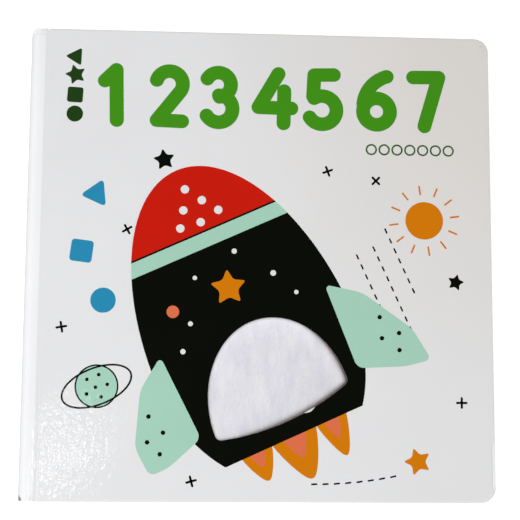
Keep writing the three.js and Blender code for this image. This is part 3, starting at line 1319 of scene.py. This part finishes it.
@dataclass
class Plush:
    """The plush behind the window: a crowned bed and the pile that leans across it."""

    crown: float = 21.15 * MM
    edge: float = 20.45 * MM
    shoulder: float = 9.0 * MM
    spacing: float = 0.36 * MM
    blade_length: float = 3.0 * MM
    blade_width: float = 0.2 * MM
    lean: float = 76.0
    heading: float = 262.0
    root_margin: float = 0.04 * MM
    root_depth: float = 0.12 * MM
    lap: float = 0.2 * MM
    swirl: float = 14.0
    fringe: int = 300
    hair_half_width: float = 0.09 * MM
    contour_inset: float = 0.1 * MM
    bed_inset: float = 0.08 * MM
    bed_tone: float = 0.45
    shade_centre: Point = (WINDOW.x - 6 * MM, WINDOW.y + 14 * MM)
    shade_reach: float = 26 * MM
    side_reach: float = 2.9 * MM
    rim_reach: float = 0.7 * MM
    seed: int = 11
    dark_side: Point = (0.86, -0.5)
    rings: tuple[float, ...] = (1.0, 0.985, 0.955, 0.92, 0.88, 0.83, 0.77, 0.7, 0.6, 0.48, 0.34, 0.18)
    contour: np.ndarray = field(default_factory=lambda: np.empty((0, 2)))

    def depth_inside(self, points: np.ndarray) -> np.ndarray:
        """Measures how far points lie inside the window.

        Args:
            points: One row of X and Y for each point.

        Returns:
            Distance to the outline, negative outside it.
        """
        best = np.full(len(points), 1.0)
        inside = np.zeros(len(points), bool)
        for a, b in zip(self.contour, np.roll(self.contour, -1, axis=0)):
            side = b - a
            share = np.clip(((points - a) @ side) / (side @ side), 0, 1)
            best = np.minimum(best, np.linalg.norm(points - (a + share[:, None] * side), axis=1))
            crosses = (a[1] > points[:, 1]) != (b[1] > points[:, 1])
            if a[1] != b[1]:
                x = a[0] + (points[:, 1] - a[1]) * (b[0] - a[0]) / (b[1] - a[1])
                inside ^= crosses & (points[:, 0] < x)
        return np.where(inside, best, -best)

    def surface(self, inset: np.ndarray) -> np.ndarray:
        """Gives Z of the bed at a distance from the window's edge."""
        share = np.clip(inset / self.shoulder, 0, 1)
        return self.edge + (self.crown - self.edge) * (1 - (1 - share) ** 1.8)

    def edge_shade(self, points: np.ndarray, inset: np.ndarray) -> np.ndarray:
        """Says how much the pile is in shade, mostly along the lower right edge.

        Args:
            points: One row of X and Y for each point.
            inset: Distance from the edge.

        Returns:
            Shade from 0 to 1.
        """
        away = points - np.array(self.shade_centre)
        broad = 0.055 * np.clip(away @ np.array(self.dark_side) / self.shade_reach, 0, 1)
        away = away / np.maximum(np.linalg.norm(away, axis=1), SLACK)[:, None]
        facing = np.clip(away @ np.array(self.dark_side), 0, 1)
        near = np.clip(1 - inset / self.side_reach, 0, 1)
        rim = 0.5 * np.clip(1 - inset / self.rim_reach, 0, 1)
        return np.clip(1.15 * facing**0.7 * near**1.6 + rim + broad, 0, 1)

    def build(self) -> list[Piece]:
        """Builds the bed and the pile.

        Returns:
            The pieces.
        """
        self.contour = WINDOW.contour(-self.contour_inset)
        bed = self._bed()
        pile = self._pile()
        for piece, finish in ((bed, PLUSH_GROUND), (pile, WHITE_PLUSH)):
            seat(piece, finish, Body.FRONT, "plush_patch")
        return [bed, pile]

    def _bed(self) -> Piece:
        """Builds the crowned bed.

        Returns:
            The bed.
        """
        bed = WINDOW.outline("plush_bed", -self.bed_inset)
        centre = (*polar(WINDOW.x, WINDOW.y, WINDOW.height * WINDOW.middle, 90 + WINDOW.tilt), 0)
        with Bench.edit(bed):
            for outer, inner in zip(self.rings, self.rings[1:]):
                bpy.ops.mesh.extrude_region()
                bpy.ops.transform.resize(value=(inner / outer, inner / outer, 1), center_override=centre)
            bpy.ops.mesh.poke()
        points = np.array([(v.co.x, v.co.y) for v in bed.data.vertices])
        inset = np.maximum(self.depth_inside(points), 0)
        for vert, z in zip(bed.data.vertices, self.surface(inset)):
            vert.co.z = z
        self._paint(bed, self.edge_shade(points, inset), np.full(len(points), self.bed_tone))
        Bench.smooth(bed, 80)
        return bed

    def _pile(self) -> Piece:
        """Builds the pile from one tapered blade, set out over the bed.

        Returns:
            The pile.
        """
        rng = np.random.default_rng(self.seed)
        spans = zip(self.contour.min(axis=0), self.contour.max(axis=0))
        lines = [np.arange(low, high, self.spacing) for low, high in spans]
        grid = np.stack(np.meshgrid(*lines), axis=-1).reshape(-1, 2)
        grid = grid + rng.uniform(-0.5, 0.5, grid.shape) * self.spacing
        inset = self.depth_inside(grid)
        keep = inset > self.root_margin
        root, inset = grid[keep], inset[keep]
        count = len(root)
        swirl = np.sin(root[:, 0] * 520 + 2.1 * np.sin(root[:, 1] * 330)) * np.cos(root[:, 1] * 410)
        along, across = self._headings(self.heading + self.swirl * swirl + rng.normal(0, 9, count))
        lean = np.radians(self.lean + rng.normal(0, 4, count))
        length = self.blade_length * rng.uniform(0.6, 1.2, count)
        ahead = self.depth_inside(root + along * (length * 0.95)[:, None])
        length = length * np.clip((inset + self.lap) / np.maximum(inset - ahead, SLACK), 0.12, 1)
        base = self.surface(inset) - self.root_depth
        sections = []
        for share, width in ((0.0, 1.0), (0.5, 0.85), (1.0, 0.25)):
            middle = along * (length * share * np.sin(lean))[:, None] + root
            rise = base + length * (share - 0.28 * share**2) * np.cos(lean)
            sections.append((middle, across * (self.blade_width * width / 2), rise))
        pile, points = self._blades("plush_pile", sections)
        inside = np.maximum(self.depth_inside(points), 0)
        self._paint(pile, self.edge_shade(points, inside), np.repeat(rng.uniform(0, 1, count), 6))
        return Bench.join([pile, self._fringe(rng)], "plush_pile")

    def _fringe(self, rng: np.random.Generator) -> Piece:
        """Builds the loose hairs that lap over the window's lower edge.

        Args:
            rng: Source of chance.

        Returns:
            The hairs.
        """
        turn = math.radians(WINDOW.tilt)
        spread = rng.uniform(-0.96, 0.96, self.fringe) * WINDOW.half_width
        depth = rng.uniform(0.1, 1.4, self.fringe) * MM
        local = np.column_stack([spread, np.array([WINDOW.base_line(u) for u in spread]) + depth])
        spin = np.array([[math.cos(turn), math.sin(turn)], [-math.sin(turn), math.cos(turn)]])
        root = local @ spin + np.array([WINDOW.x, WINDOW.y])
        along, across = self._headings(self.heading + 8 + rng.normal(0, 20, self.fringe))
        run = rng.uniform(-0.4, 0.15, self.fringe) * MM + depth
        top = BOOK.thickness + rng.uniform(0.03, 0.25, self.fringe) * MM
        sections = []
        for share, rise, width in ((0.0, 0.0, 1.0), (0.45, 0.85, 0.8), (1.0, 1.0, 0.2)):
            z = (self.edge - self.contour_inset) * (1 - rise) + top * rise
            middle = root + along * (run * share)[:, None]
            sections.append((middle, across * self.hair_half_width * width, z))
        fringe = self._blades("plush_fringe", sections)[0]
        right = np.clip(np.repeat(spread, 6) / WINDOW.half_width * 0.5 + 0.4, 0, 1)
        self._paint(fringe, 0.4 + 0.5 * right, np.repeat(rng.uniform(0, 1, self.fringe), 6))
        return fringe

    def _headings(self, degrees: np.ndarray) -> tuple[np.ndarray, np.ndarray]:
        """Gives the directions along and across blades that head some way."""
        x, y = np.cos(np.radians(degrees)), np.sin(np.radians(degrees))
        return np.column_stack([x, y]), np.column_stack([-y, x])

    def _blades(self, name: str, sections: list[tuple[np.ndarray, ...]]) -> tuple[Piece, np.ndarray]:
        """Makes flat blades of two faces each.

        Args:
            name: Name of the piece.
            sections: For root, middle and tip, the blades' middles, their half widths and their Z.

        Returns:
            The piece, and X and Y of its corners.
        """
        corners = [np.column_stack([flat + side * half, z]) for flat, half, z in sections for side in (-1, 1)]
        coords = np.stack(corners, axis=1).reshape(-1, 3)
        first = np.arange(0, len(coords), 6)[:, None]
        faces = np.concatenate([first + np.array([0, 2, 3, 1]), first + np.array([2, 4, 5, 3])])
        mesh = bpy.data.meshes.new(name)
        mesh.from_pydata(coords.tolist(), [], faces.tolist())
        piece = bpy.data.objects.new(name, mesh)
        bpy.context.scene.collection.objects.link(piece)
        return piece, coords[:, :2]

    def _paint(self, piece: Piece, shade: np.ndarray, tone: np.ndarray) -> None:
        """Stores a shade and a tone on each of a piece's corners.

        Args:
            piece: The piece.
            shade: Shade of each corner, from 0 to 1.
            tone: Tone of each corner, from 0 to 1.
        """
        for name, values in (("edge_shade", shade), ("pile_tone", tone)):
            attribute = piece.data.attributes.new(name, "FLOAT", "POINT")
            attribute.data.foreach_set("value", values.astype(np.float32))


@dataclass(frozen=True)
class Stroke:
    """One stroke of a numeral: a straight line, or an arc where it has a radius. Millimetres and degrees."""

    x: float
    y: float
    to_x: float = 0.0
    to_y: float = 0.0
    radius: float = 0.0
    start: float = 0.0
    end: float = 0.0


NUMERALS: tuple[tuple[Stroke, ...], ...] = (
    (Stroke(4.2, 21.6, 9.4, 26.6), Stroke(9.4, 26.6, 9.4, 3.3)),
    (
        Stroke(8.6, 20.6, radius=6.0, start=165, end=-38),
        Stroke(13.3, 16.9, 3.6, 3.5),
        Stroke(3.6, 3.5, 15.0, 3.5),
    ),
    (Stroke(8.2, 20.8, radius=5.7, start=150, end=-85), Stroke(8.2, 9.6, radius=6.3, start=88, end=-150)),
    (Stroke(11.2, 26.4, 2.4, 10.4), Stroke(2.4, 10.4, 17.4, 10.4), Stroke(14.0, 18.4, 14.0, 3.3)),
    (
        Stroke(14.2, 26.4, 5.2, 26.4),
        Stroke(5.2, 26.4, 4.4, 16.4),
        Stroke(8.3, 9.9, radius=6.6, start=122, end=-150),
    ),
    (Stroke(9.2, 9.8, radius=6.2, start=0, end=359.9), Stroke(18.2, 12.0, radius=15.2, start=176, end=108)),
    (Stroke(3.4, 26.4, 15.2, 26.4), Stroke(15.2, 26.4, 8.0, 3.4)),
)


@dataclass(frozen=True)
class Mark:
    """Where a printed shape goes: its ink, place in millimetres, turn in degrees, and film over the board."""

    ink: Ink
    x: float
    y: float
    turn: float = 0.0
    level: int = 1


@dataclass
class CoverPrint:
    """Flat printed shapes on the front cover: numerals, a rocket round the window, and loose shapes.

    Apart from the thickness of the ink, its sizes and places are in millimetres.
    """

    sink: float = 0.01 * MM
    layer: float = 0.02 * MM
    sun: Point = (74, 20)
    rays: int = 12
    ray_reach: float = 14
    first_ray: float = 8
    planet: Point = (-72, -56)
    planet_radius: float = 8.5
    craters: tuple[Point, ...] = (
        (-0.5, 0.35), (0.1, 0.6), (0.55, 0.1), (-0.05, -0.05), (-0.5, -0.4), (0.25, -0.55),
    )
    numerals: Point = (-75.0, 60.3)
    numeral_pitch: float = 23.6
    numeral_width: float = 6.4
    numeral_turns: tuple[float, ...] = (1.5, -1.8, 1.0, -1.0)
    numeral_hop: float = 0.5
    column_x: float = -84.6
    pluses: tuple[tuple[float, float, float], ...] = (
        (30, 42, 20), (-88, -30, 10), (90, -62, 0), (-60, 14, 30), (52, 38, 45), (-30, -97, 15),
    )
    dash_slope: float = 114.4
    dash_width: float = 0.75
    waiting: dict[tuple[Ink, int], list[Piece]] = field(default_factory=dict)

    def lay(self, shape: Piece, at: Mark) -> Piece:
        """Puts a flat outline in its place on the cover, as a film of ink.

        Args:
            shape: The outline, flat about the origin.
            at: Where it goes.

        Returns:
            The film.
        """
        Bench.lift(shape, self.sink + self.layer * at.level)
        Bench.place(shape, at.x * MM, at.y * MM, BOOK.thickness - self.sink, at.turn)
        self.waiting.setdefault((at.ink, at.level), []).append(shape)
        return shape

    def outline(self, vertices: int, radius: float) -> Piece:
        """Adds a filled outline with equal sides, and a radius in millimetres.

        Args:
            vertices: Its corners.
            radius: Its radius.

        Returns:
            The outline.
        """
        Bench.clear()
        bpy.ops.mesh.primitive_circle_add(vertices=vertices, radius=radius * MM, fill_type="NGON")
        return Bench.take("print_shape")

    def soften(self, shape: Piece, offset: float, segments: int) -> Piece:
        """Rounds every corner of an outline.

        Args:
            shape: The outline.
            offset: How far, in millimetres.
            segments: Steps in each corner.

        Returns:
            The same outline.
        """
        with Bench.edit(shape):
            bpy.ops.mesh.bevel(offset=offset * MM, segments=segments, affect="VERTICES")
        return shape

    def polygon(self, corners: Sequence[Point]) -> Piece:
        """Makes a flat outline through given corners, in millimetres.

        Args:
            corners: Its corners in order.

        Returns:
            The outline.
        """
        shape = self.outline(len(corners), 10)
        for index, (x, y) in zip(shape.data.polygons[0].vertices, corners):
            shape.data.vertices[index].co = (x * MM, y * MM, 0)
        return shape

    def shrink(self, shape: Piece, width: float) -> Piece:
        """Draws an outline in by a width all round.

        Args:
            shape: The outline.
            width: The width in millimetres.

        Returns:
            The same outline, smaller.
        """
        with Bench.edit(shape):
            bpy.ops.mesh.inset(thickness=width * MM, depth=0, use_even_offset=True)
            bpy.ops.mesh.select_all(action="INVERT")
            bpy.ops.mesh.delete(type="FACE")
        return shape

    def disc(self, at: Mark, radius: float) -> None:
        """Prints a disc, with fewer sides where it is small."""
        self.lay(self.outline(28 if radius < 3 else 96, radius), at)

    def ring(self, at: Mark, radius: float, width: float, wide: float = 1.0) -> None:
        """Prints a ring.

        Args:
            at: Where it goes.
            radius: Outer radius.
            width: Width of the ring.
            wide: How much wider than high it is.
        """
        shape = self.outline(96, radius)
        with Bench.edit(shape):
            bpy.ops.transform.resize(value=(wide, 1, 1))
            bpy.ops.mesh.inset(thickness=width * MM, depth=0, use_even_offset=True)
            bpy.ops.mesh.delete(type="FACE")
        self.lay(shape, at)

    def star(self, at: Mark, radius: float) -> None:
        """Prints a star with five soft tips.

        Args:
            at: Where it goes.
            radius: Radius to its tips.
        """
        shape = self.outline(10, radius)
        for index in list(shape.data.polygons[0].vertices)[1::2]:
            shape.data.vertices[index].co *= 0.5
        self.lay(self.soften(shape, radius * 0.16, 4), at)

    def block(self, at: Mark, radius: float, sides: int, soft: float) -> None:
        """Prints a triangle or square, its corners rounded by a share of its radius."""
        self.lay(self.soften(self.outline(sides, radius), radius * soft, 5), at)

    def bar(self, at: Mark, length: float, width: float) -> None:
        """Prints a short bar with round ends."""
        shape = Bench.sheet("print_shape", length * MM, width * MM, (0, 0, 0))
        self.lay(self.soften(shape, width * 0.49, 4), at)

    def _line(self, stroke: Stroke, width: float) -> list[Piece]:
        """Makes the solids of one stroke, no two with the same levels so that they can be fused.

        Args:
            stroke: The stroke.
            width: Its width in millimetres.

        Returns:
            A band and a disc at each end.
        """
        if stroke.radius:
            band = Bench.sheet("print_part", width * MM, 2 * MM, (stroke.radius * MM, 1 * MM, 0))
            with Bench.edit(band, Pick.VERTS, lambda co: co.y > 1 * MM):
                bpy.ops.mesh.delete(type="VERT")
            sweep = stroke.end - stroke.start
            steps = max(6, int(abs(sweep) / 7))
            with Bench.edit(band):
                bpy.ops.mesh.spin(steps=steps, angle=-math.radians(sweep), center=(0, 0, 0), axis=(0, 0, 1))
                bpy.ops.mesh.select_all(action="SELECT")
                bpy.ops.mesh.remove_doubles(threshold=SLACK)
            parts = [(band, stroke.x, stroke.y, stroke.start)]
            ends = [polar(stroke.x, stroke.y, stroke.radius, turn) for turn in (stroke.start, stroke.end)]
        else:
            run, rise = stroke.to_x - stroke.x, stroke.to_y - stroke.y
            band = Bench.sheet("print_part", math.hypot(run, rise) * MM, width * MM, (0, 0, 0))
            parts = [(band, stroke.x + run / 2, stroke.y + rise / 2, math.degrees(math.atan2(rise, run)))]
            ends = [(stroke.x, stroke.y), (stroke.to_x, stroke.to_y)]
        parts += [(self.outline(32, width / 2), x, y, 7.0) for x, y in ends]
        for i, (part, x, y, turn) in enumerate(parts):
            Bench.lift(part, (1 + 0.01 * i) * MM)
            Bench.place(part, x * MM, y * MM, -0.005 * i * MM, turn)
        return [part for part, *_ in parts]

    def _fuse(self, strokes: Sequence[Stroke], width: float) -> Piece:
        """Fuses strokes into one flat outline.

        Args:
            strokes: The strokes.
            width: Their width in millimetres.

        Returns:
            The outline, flat at Z 0.
        """
        base, *rest = [part for stroke in strokes for part in self._line(stroke, width)]
        for part in rest:
            Bench.modify(base, "BOOLEAN", operation="UNION", solver="EXACT", object=part)
        Bench.discard(*rest)
        half_way = (0, 0, 0.5 * MM)
        with Bench.edit(base):
            bpy.ops.mesh.bisect(plane_co=half_way, plane_no=(0, 0, 1), use_fill=True, clear_inner=True)
        with Bench.edit(base, Pick.FACES, lambda c, n: c.z > 0.5001 * MM or abs(n.z) < 0.9):
            bpy.ops.mesh.delete(type="FACE")
        for vert in base.data.vertices:
            vert.co.z = 0
        return base

    def build(self) -> list[Piece]:
        """Prints the whole cover.

        Returns:
            One piece for each ink and film.
        """
        x, y = self.numerals
        for i, strokes in enumerate(NUMERALS):
            turn = self.numeral_turns[i % len(self.numeral_turns)]
            at = Mark(Ink.GRASS, x + i * self.numeral_pitch, y + self.numeral_hop * (i % 2), turn)
            self.lay(self._fuse(strokes, self.numeral_width), at)
        self.disc(Mark(Ink.PINE, self.column_x, 66.4), 3.7)
        self.block(Mark(Ink.PINE, self.column_x, 75.2, 42), 5.0, 4, 0.22)
        self.star(Mark(Ink.PINE, self.column_x, 84.6, 16), 5.0)
        self.block(Mark(Ink.PINE, self.column_x, 93.0, 88), 4.9, 3, 0.24)
        for i in range(7):
            self.ring(Mark(Ink.STEM, 50.0 + 5.9 * i, 52.5), 2.6, 0.75)
        Rocket(self).draw()
        self._loose_shapes()
        pieces = []
        for (ink, level), shapes in self.waiting.items():
            piece = Bench.join(shapes, f"print_{ink.name.lower()}_{level}")
            dress(piece, Laminate(f"ink_{ink.name.lower()}", ink.value))
            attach(piece, Body.FRONT.value)
            pieces.append(piece)
        return pieces

    def _loose_shapes(self) -> None:
        """Prints the plain shapes round the rocket."""
        self.disc(Mark(Ink.ORANGE, *self.sun), 8.6)
        for i in range(self.rays):
            turn = self.first_ray + 360 / self.rays * i
            self.bar(Mark(Ink.ORANGE, *polar(*self.sun, self.ray_reach, turn), turn), 4.4, 0.8)
        self.disc(Mark(Ink.BLACK, *self.planet), 9.6)
        self.disc(Mark(Ink.MINT, *self.planet, level=2), 8.9)
        for shares in self.craters:
            x, y = (middle + share * self.planet_radius for middle, share in zip(self.planet, shares))
            self.disc(Mark(Ink.BLACK, x, y, level=3), 0.8)
        self.ring(Mark(Ink.BLACK, *self.planet, 22, 3), 8.4, 0.8, 1.95)
        self.block(Mark(Ink.BLUE, -74, 30, 96), 7.4, 3, 0.3)
        self.block(Mark(Ink.BLUE, -80, 4, 38), 7.0, 4, 0.22)
        self.disc(Mark(Ink.BLUE, -70, -18), 5.6)
        self.star(Mark(Ink.BLACK, -44, 46, 10), 5.2)
        self.star(Mark(Ink.BLACK, 88, -8, -14), 4.0)
        self.star(Mark(Ink.ORANGE, 70, -88, 18), 6.4)
        for offset, start, count in ((0, 0, 11), (7.5, 2, 9), (15, 5, 7)):
            for i in range(start, start + count):
                at = Mark(Ink.BLACK, 64 + offset - 2.05 * i, -42 + offset * 0.5 + 4.5 * i, self.dash_slope)
                self.bar(at, 2.6, self.dash_width)
        for i in range(8):
            at = Mark(Ink.BLACK, 24 + 5.0 * i, -98 + 0.07 * i * i, 3 + 1.6 * i)
            self.bar(at, 2.8, self.dash_width)
        for x, y, turn in self.pluses:
            for quarter in (0, 90):
                self.bar(Mark(Ink.BLACK, x, y, turn + quarter), 5.2, 1.0)


@dataclass
class Rocket:
    """A plain rocket round the window, in the window's own tilted frame. Millimetres."""

    cover: CoverPrint
    half_width: float = 46.5
    widest: float = 30.0
    rise: float = 88.0
    fall: float = 60.0
    foot: float = -12.0
    nose: float = 88.0
    band: float = 7.5
    line: float = 0.8
    fin_corner: float = 3.0
    fins: tuple[tuple[Point, ...], ...] = (
        ((40, 44), (54, 34), (68, 10), (70, -6), (58, -4), (38, 4)),
        ((-40, 44), (-54, 34), (-66, 12), (-65, -2), (-56, -2), (-38, 4)),
    )
    flames: tuple[tuple[float, float, float], ...] = ((-18, 7.2, 13), (0, 10.5, 20), (18, 7.2, 17))
    chip: tuple[Point, ...] = ((0.26, 0.1), (0.3, 0.55), (0.34, 0.8), (0.38, 0.6), (0.42, 0.1))
    chip_lap: float = 0.15
    sky: tuple[tuple[float, float, float], ...] = (
        (-22, 52, 1.1), (21, 58, 1.3), (-12, 70, 1.0), (9, 74, 1.2), (27, 46, 1.0), (-30, 42, 1.2),
    )
    nose_dots: tuple[Point, ...] = ((-9, 93), (0.5, 92), (10, 94), (-4.5, 100), (5, 101), (0, 108.5))
    fin_dots: tuple[Point, ...] = ((2, 7), (7, -3), (-1, -2), (4, -10))

    def draw(self) -> None:
        """Prints the flames, fins and body, then the dots and the star on it, and the chip at the window."""
        self._flames()
        self._fins()
        self._body()
        for u, v, radius in self.sky:
            self._disc(u, v, radius, Ink.WHITE, 2)
        self._disc(-27, 60, 2.8, Ink.CORAL, 2)
        self.cover.star(Mark(Ink.ORANGE, *self._place(0, 60), 6, 2), 8.5)
        self._chip()

    def _place(self, u: float, v: float) -> Point:
        """Turns a place in the rocket's frame into one on the cover."""
        sine, cosine = math.sin(math.radians(WINDOW.tilt)), math.cos(math.radians(WINDOW.tilt))
        return WINDOW.x / MM + u * cosine - v * sine, WINDOW.y / MM + u * sine + v * cosine

    def _lay(self, shape: Piece, ink: Ink, level: int) -> Piece:
        """Puts an outline made in the rocket's frame on the cover."""
        return self.cover.lay(shape, Mark(ink, WINDOW.x / MM, WINDOW.y / MM, WINDOW.tilt, level))

    def _disc(self, u: float, v: float, radius: float, ink: Ink, level: int) -> None:
        """Prints a disc at a place in the rocket's frame."""
        self.cover.disc(Mark(ink, *self._place(u, v), level=level), radius)

    def _trim(self, shape: Piece, level: float, away: int) -> None:
        """Cuts off an outline beyond a level, above it for 1 or below it for -1."""
        with Bench.edit(shape):
            bpy.ops.mesh.bisect(plane_co=(0, level * MM, 0), plane_no=(0, away, 0), clear_outer=True)

    def _hull(self, low: float, high: float = 200.0) -> Piece:
        """Makes a slice of the rocket's egg-shaped body.

        Args:
            low: Where the slice starts.
            high: Where it ends.

        Returns:
            The outline.
        """
        shape = self.cover.outline(160, 1)
        for vert in shape.data.vertices:
            tall = self.rise if vert.co.y > 0 else self.fall
            vert.co.x *= self.half_width
            vert.co.y = vert.co.y * tall + self.widest * MM
        self._trim(shape, low, -1)
        self._trim(shape, high, 1)
        return shape

    def _body(self) -> None:
        """Prints the dark body, cut out round the window, with its nose, band and dots."""
        WINDOW.cut(self._lay(self._hull(self.foot), Ink.BLACK, 1))
        self._lay(self.cover.shrink(self._hull(self.nose), self.line), Ink.RED, 2)
        band = self._hull(self.nose - self.band, self.nose - self.line)
        self._lay(self.cover.shrink(band, self.line), Ink.MINT, 2)
        for u, v in self.nose_dots:
            self._disc(u, v, 1.9, Ink.WHITE, 3)

    def _fins(self) -> None:
        """Prints both fins, each with four dots."""
        for corners in self.fins:
            for ink, level in ((Ink.BLACK, 1), (Ink.MINT, 2)):
                fin = self.cover.soften(self.cover.polygon(corners), self.fin_corner, 6)
                self._lay(self.cover.shrink(fin, self.line) if level > 1 else fin, ink, level)
            middle_u, middle_v = (sum(values) / len(corners) for values in zip(*corners))
            side = math.copysign(1, middle_u)
            for u, v in self.fin_dots:
                self._disc(middle_u + u * side, middle_v + v, 1.0, Ink.BLACK, 3)

    def _flames(self) -> None:
        """Prints the flames below the rocket's foot, each with a smaller one inside."""
        for u, half, length in self.flames:
            for share, ink, level in ((1.0, Ink.ORANGE, 1), (0.5, Ink.CORAL, 2)):
                shape = self.cover.outline(40, 1)
                for vert in shape.data.vertices:
                    drop = vert.co.y / MM
                    reach = (length if drop < 0 else 4.0) * share
                    vert.co.x = vert.co.x * half * share * (1 + 0.45 * min(drop, 0)) + u * MM
                    vert.co.y = (self.foot + drop * reach) * MM
                self._trim(shape, self.foot + 0.02, 1)
                self._lay(shape, ink, level)

    def _chip(self) -> None:
        """Prints the sliver at the window's edge where the ink is chipped off the board."""
        half = WINDOW.half_width / MM
        edge = [(half * share, WINDOW.base_line(half * share * MM) / MM) for share, _ in self.chip]
        below = [(u, v - depth) for (u, v), (_, depth) in zip(edge, self.chip)]
        lapped = [(u, v + self.chip_lap) for u, v in edge]
        self._lay(self.cover.polygon([*lapped, *reversed(below)]), Ink.WHITE, 2)


@dataclass
class PagePatches:
    """The touch patches of both outer pages, which keep the meshes of their solids."""

    first: Cloth = BLUE_CLOTH
    last: Cloth = ORANGE_FELT

    def dress_nodes(self, nodes: dict[str, Piece]) -> None:
        """Gives both patches their cloth.

        Args:
            nodes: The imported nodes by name.
        """
        for name, cloth in (("first_page_patch", self.first), ("last_page_patch", self.last)):
            for slot in nodes[name].material_slots:
                slot.material = cloth.make()


@dataclass(frozen=True)
class Lamp:
    """A soft lamp: its place, width and height, power in watts, colour, and whether gloss mirrors it."""

    name: str
    place: Place
    wide: float
    high: float
    power: float
    colour: Colour = (1, 1, 1)
    mirrored: bool = True


@dataclass
class Studio:
    """Floor, soft lamps and the camera at the photograph's viewing angle."""

    camera_place: Place = (-34.9 * MM, -78.1 * MM, 597.0 * MM)
    camera_turn: Place = (7.78, -3.47, 0.37)
    lens: float = 90.0
    sensor: float = 36.0
    nearest: float = 0.01
    floor_size: float = 14.0
    floor_glow: float = 0.8
    mirrored_glow: float = 0.3
    wall_top: float = 0.45
    ceiling: float = 0.85
    ceiling_glow: float = 0.03
    lamps: tuple[Lamp, ...] = (
        Lamp("key_lamp", (-0.42, -0.25, 1.0), 0.34, 0.34, 6.6, (0.98, 0.99, 1.0), False),
        Lamp("fill_lamp", (1.5, -0.3, 0.4), 0.8, 0.8, 4.0, (1.0, 0.93, 0.85), False),
        Lamp("side_lamp", (-0.75, -0.3, 1.3), 0.4, 0.4, 0.8),
        Lamp("window_glow", (-0.246, -0.101, 1.5), 0.055, 0.11, 0.25),
    )

    def build(self) -> None:
        """Sets up the whole studio."""
        self._camera()
        self._floor()
        self._world()
        for lamp in self.lamps:
            self._hang(lamp)
        bpy.context.scene.view_settings.view_transform = "Standard"

    def _camera(self) -> None:
        """Places the camera."""
        data = bpy.data.cameras.new("camera")
        data.lens = self.lens
        data.sensor_width = self.sensor
        data.clip_start = self.nearest
        camera = bpy.data.objects.new("camera", data)
        camera.location = self.camera_place
        camera.rotation_euler = tuple(math.radians(angle) for angle in self.camera_turn)
        bpy.context.scene.collection.objects.link(camera)
        bpy.context.scene.camera = camera

    def _floor(self) -> None:
        """Lays a pale floor, which camera rays see as white apart from its shadow."""
        Bench.clear()
        bpy.ops.mesh.primitive_plane_add(size=self.floor_size, location=(0, 0, 0))
        floor = Bench.take("floor")
        sheet = NodeSheet("pale_floor")
        mirrored = sheet.times(sheet.node("LightPath", "Is Glossy Ray", {}), self.mirrored_glow)
        seen = sheet.maths("MAXIMUM", sheet.node("LightPath", "Is Camera Ray", {}), mirrored)
        sheet.set(
            Base_Color=(0.5, 0.5, 0.5, 1),
            Roughness=0.9,
            Specular_IOR_Level=0.0,
            Emission_Color=(1, 1, 1, 1),
            Emission_Strength=sheet.times(seen, self.floor_glow),
        )
        floor.data.materials.append(sheet.material)

    def _world(self) -> None:
        """Lights the room from white walls under a dim ceiling."""
        world = bpy.data.worlds.new("studio")
        world.use_nodes = True
        tree = world.node_tree
        place = tree.nodes.new("ShaderNodeTexCoord")
        parts = tree.nodes.new("ShaderNodeSeparateXYZ")
        rise = tree.nodes.new("ShaderNodeMapRange")
        rise.interpolation_type = "SMOOTHSTEP"
        levels = {"From Min": self.wall_top, "From Max": self.ceiling, "To Max": self.ceiling_glow}
        for key, value in (*levels.items(), ("To Min", 1.0)):
            rise.inputs[key].default_value = value
        tree.links.new(place.outputs["Generated"], parts.inputs["Vector"])
        tree.links.new(parts.outputs["Z"], rise.inputs["Value"])
        tree.links.new(rise.outputs["Result"], tree.nodes["Background"].inputs["Strength"])
        tree.nodes["Background"].inputs["Color"].default_value = (1, 1, 1, 1)
        bpy.context.scene.world = world

    def _hang(self, lamp: Lamp) -> None:
        """Hangs a lamp that looks at the book.

        Args:
            lamp: The lamp.
        """
        data = bpy.data.lights.new(lamp.name, "AREA")
        data.shape = "SQUARE" if lamp.wide == lamp.high else "RECTANGLE"
        data.size = lamp.wide
        data.size_y = lamp.high
        data.energy = lamp.power
        data.color = lamp.colour
        hung = bpy.data.objects.new(lamp.name, data)
        hung.location = lamp.place
        hung.rotation_euler = (-Vector(lamp.place)).to_track_quat("-Z", "Y").to_euler()
        hung.visible_glossy = lamp.mirrored
        bpy.context.scene.collection.objects.link(hung)


def main() -> None:
    """Loads the frame, builds every sub-assembly and reports its pieces."""
    logging.basicConfig(level=logging.INFO, format="%(name)s: %(message)s")
    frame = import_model()
    Studio().build()
    pieces = [*Covers().build(), Spine().build(), PageBlock().build()]
    pieces += [*Folds().build(), *Plush().build(), *CoverPrint().build()]
    PagePatches().dress_nodes(frame["nodes"])
    Bench.clear()
    for piece in pieces:
        LOG.info("%s: %d faces", piece.name, len(piece.data.polygons))


if __name__ == "__main__":
    main()
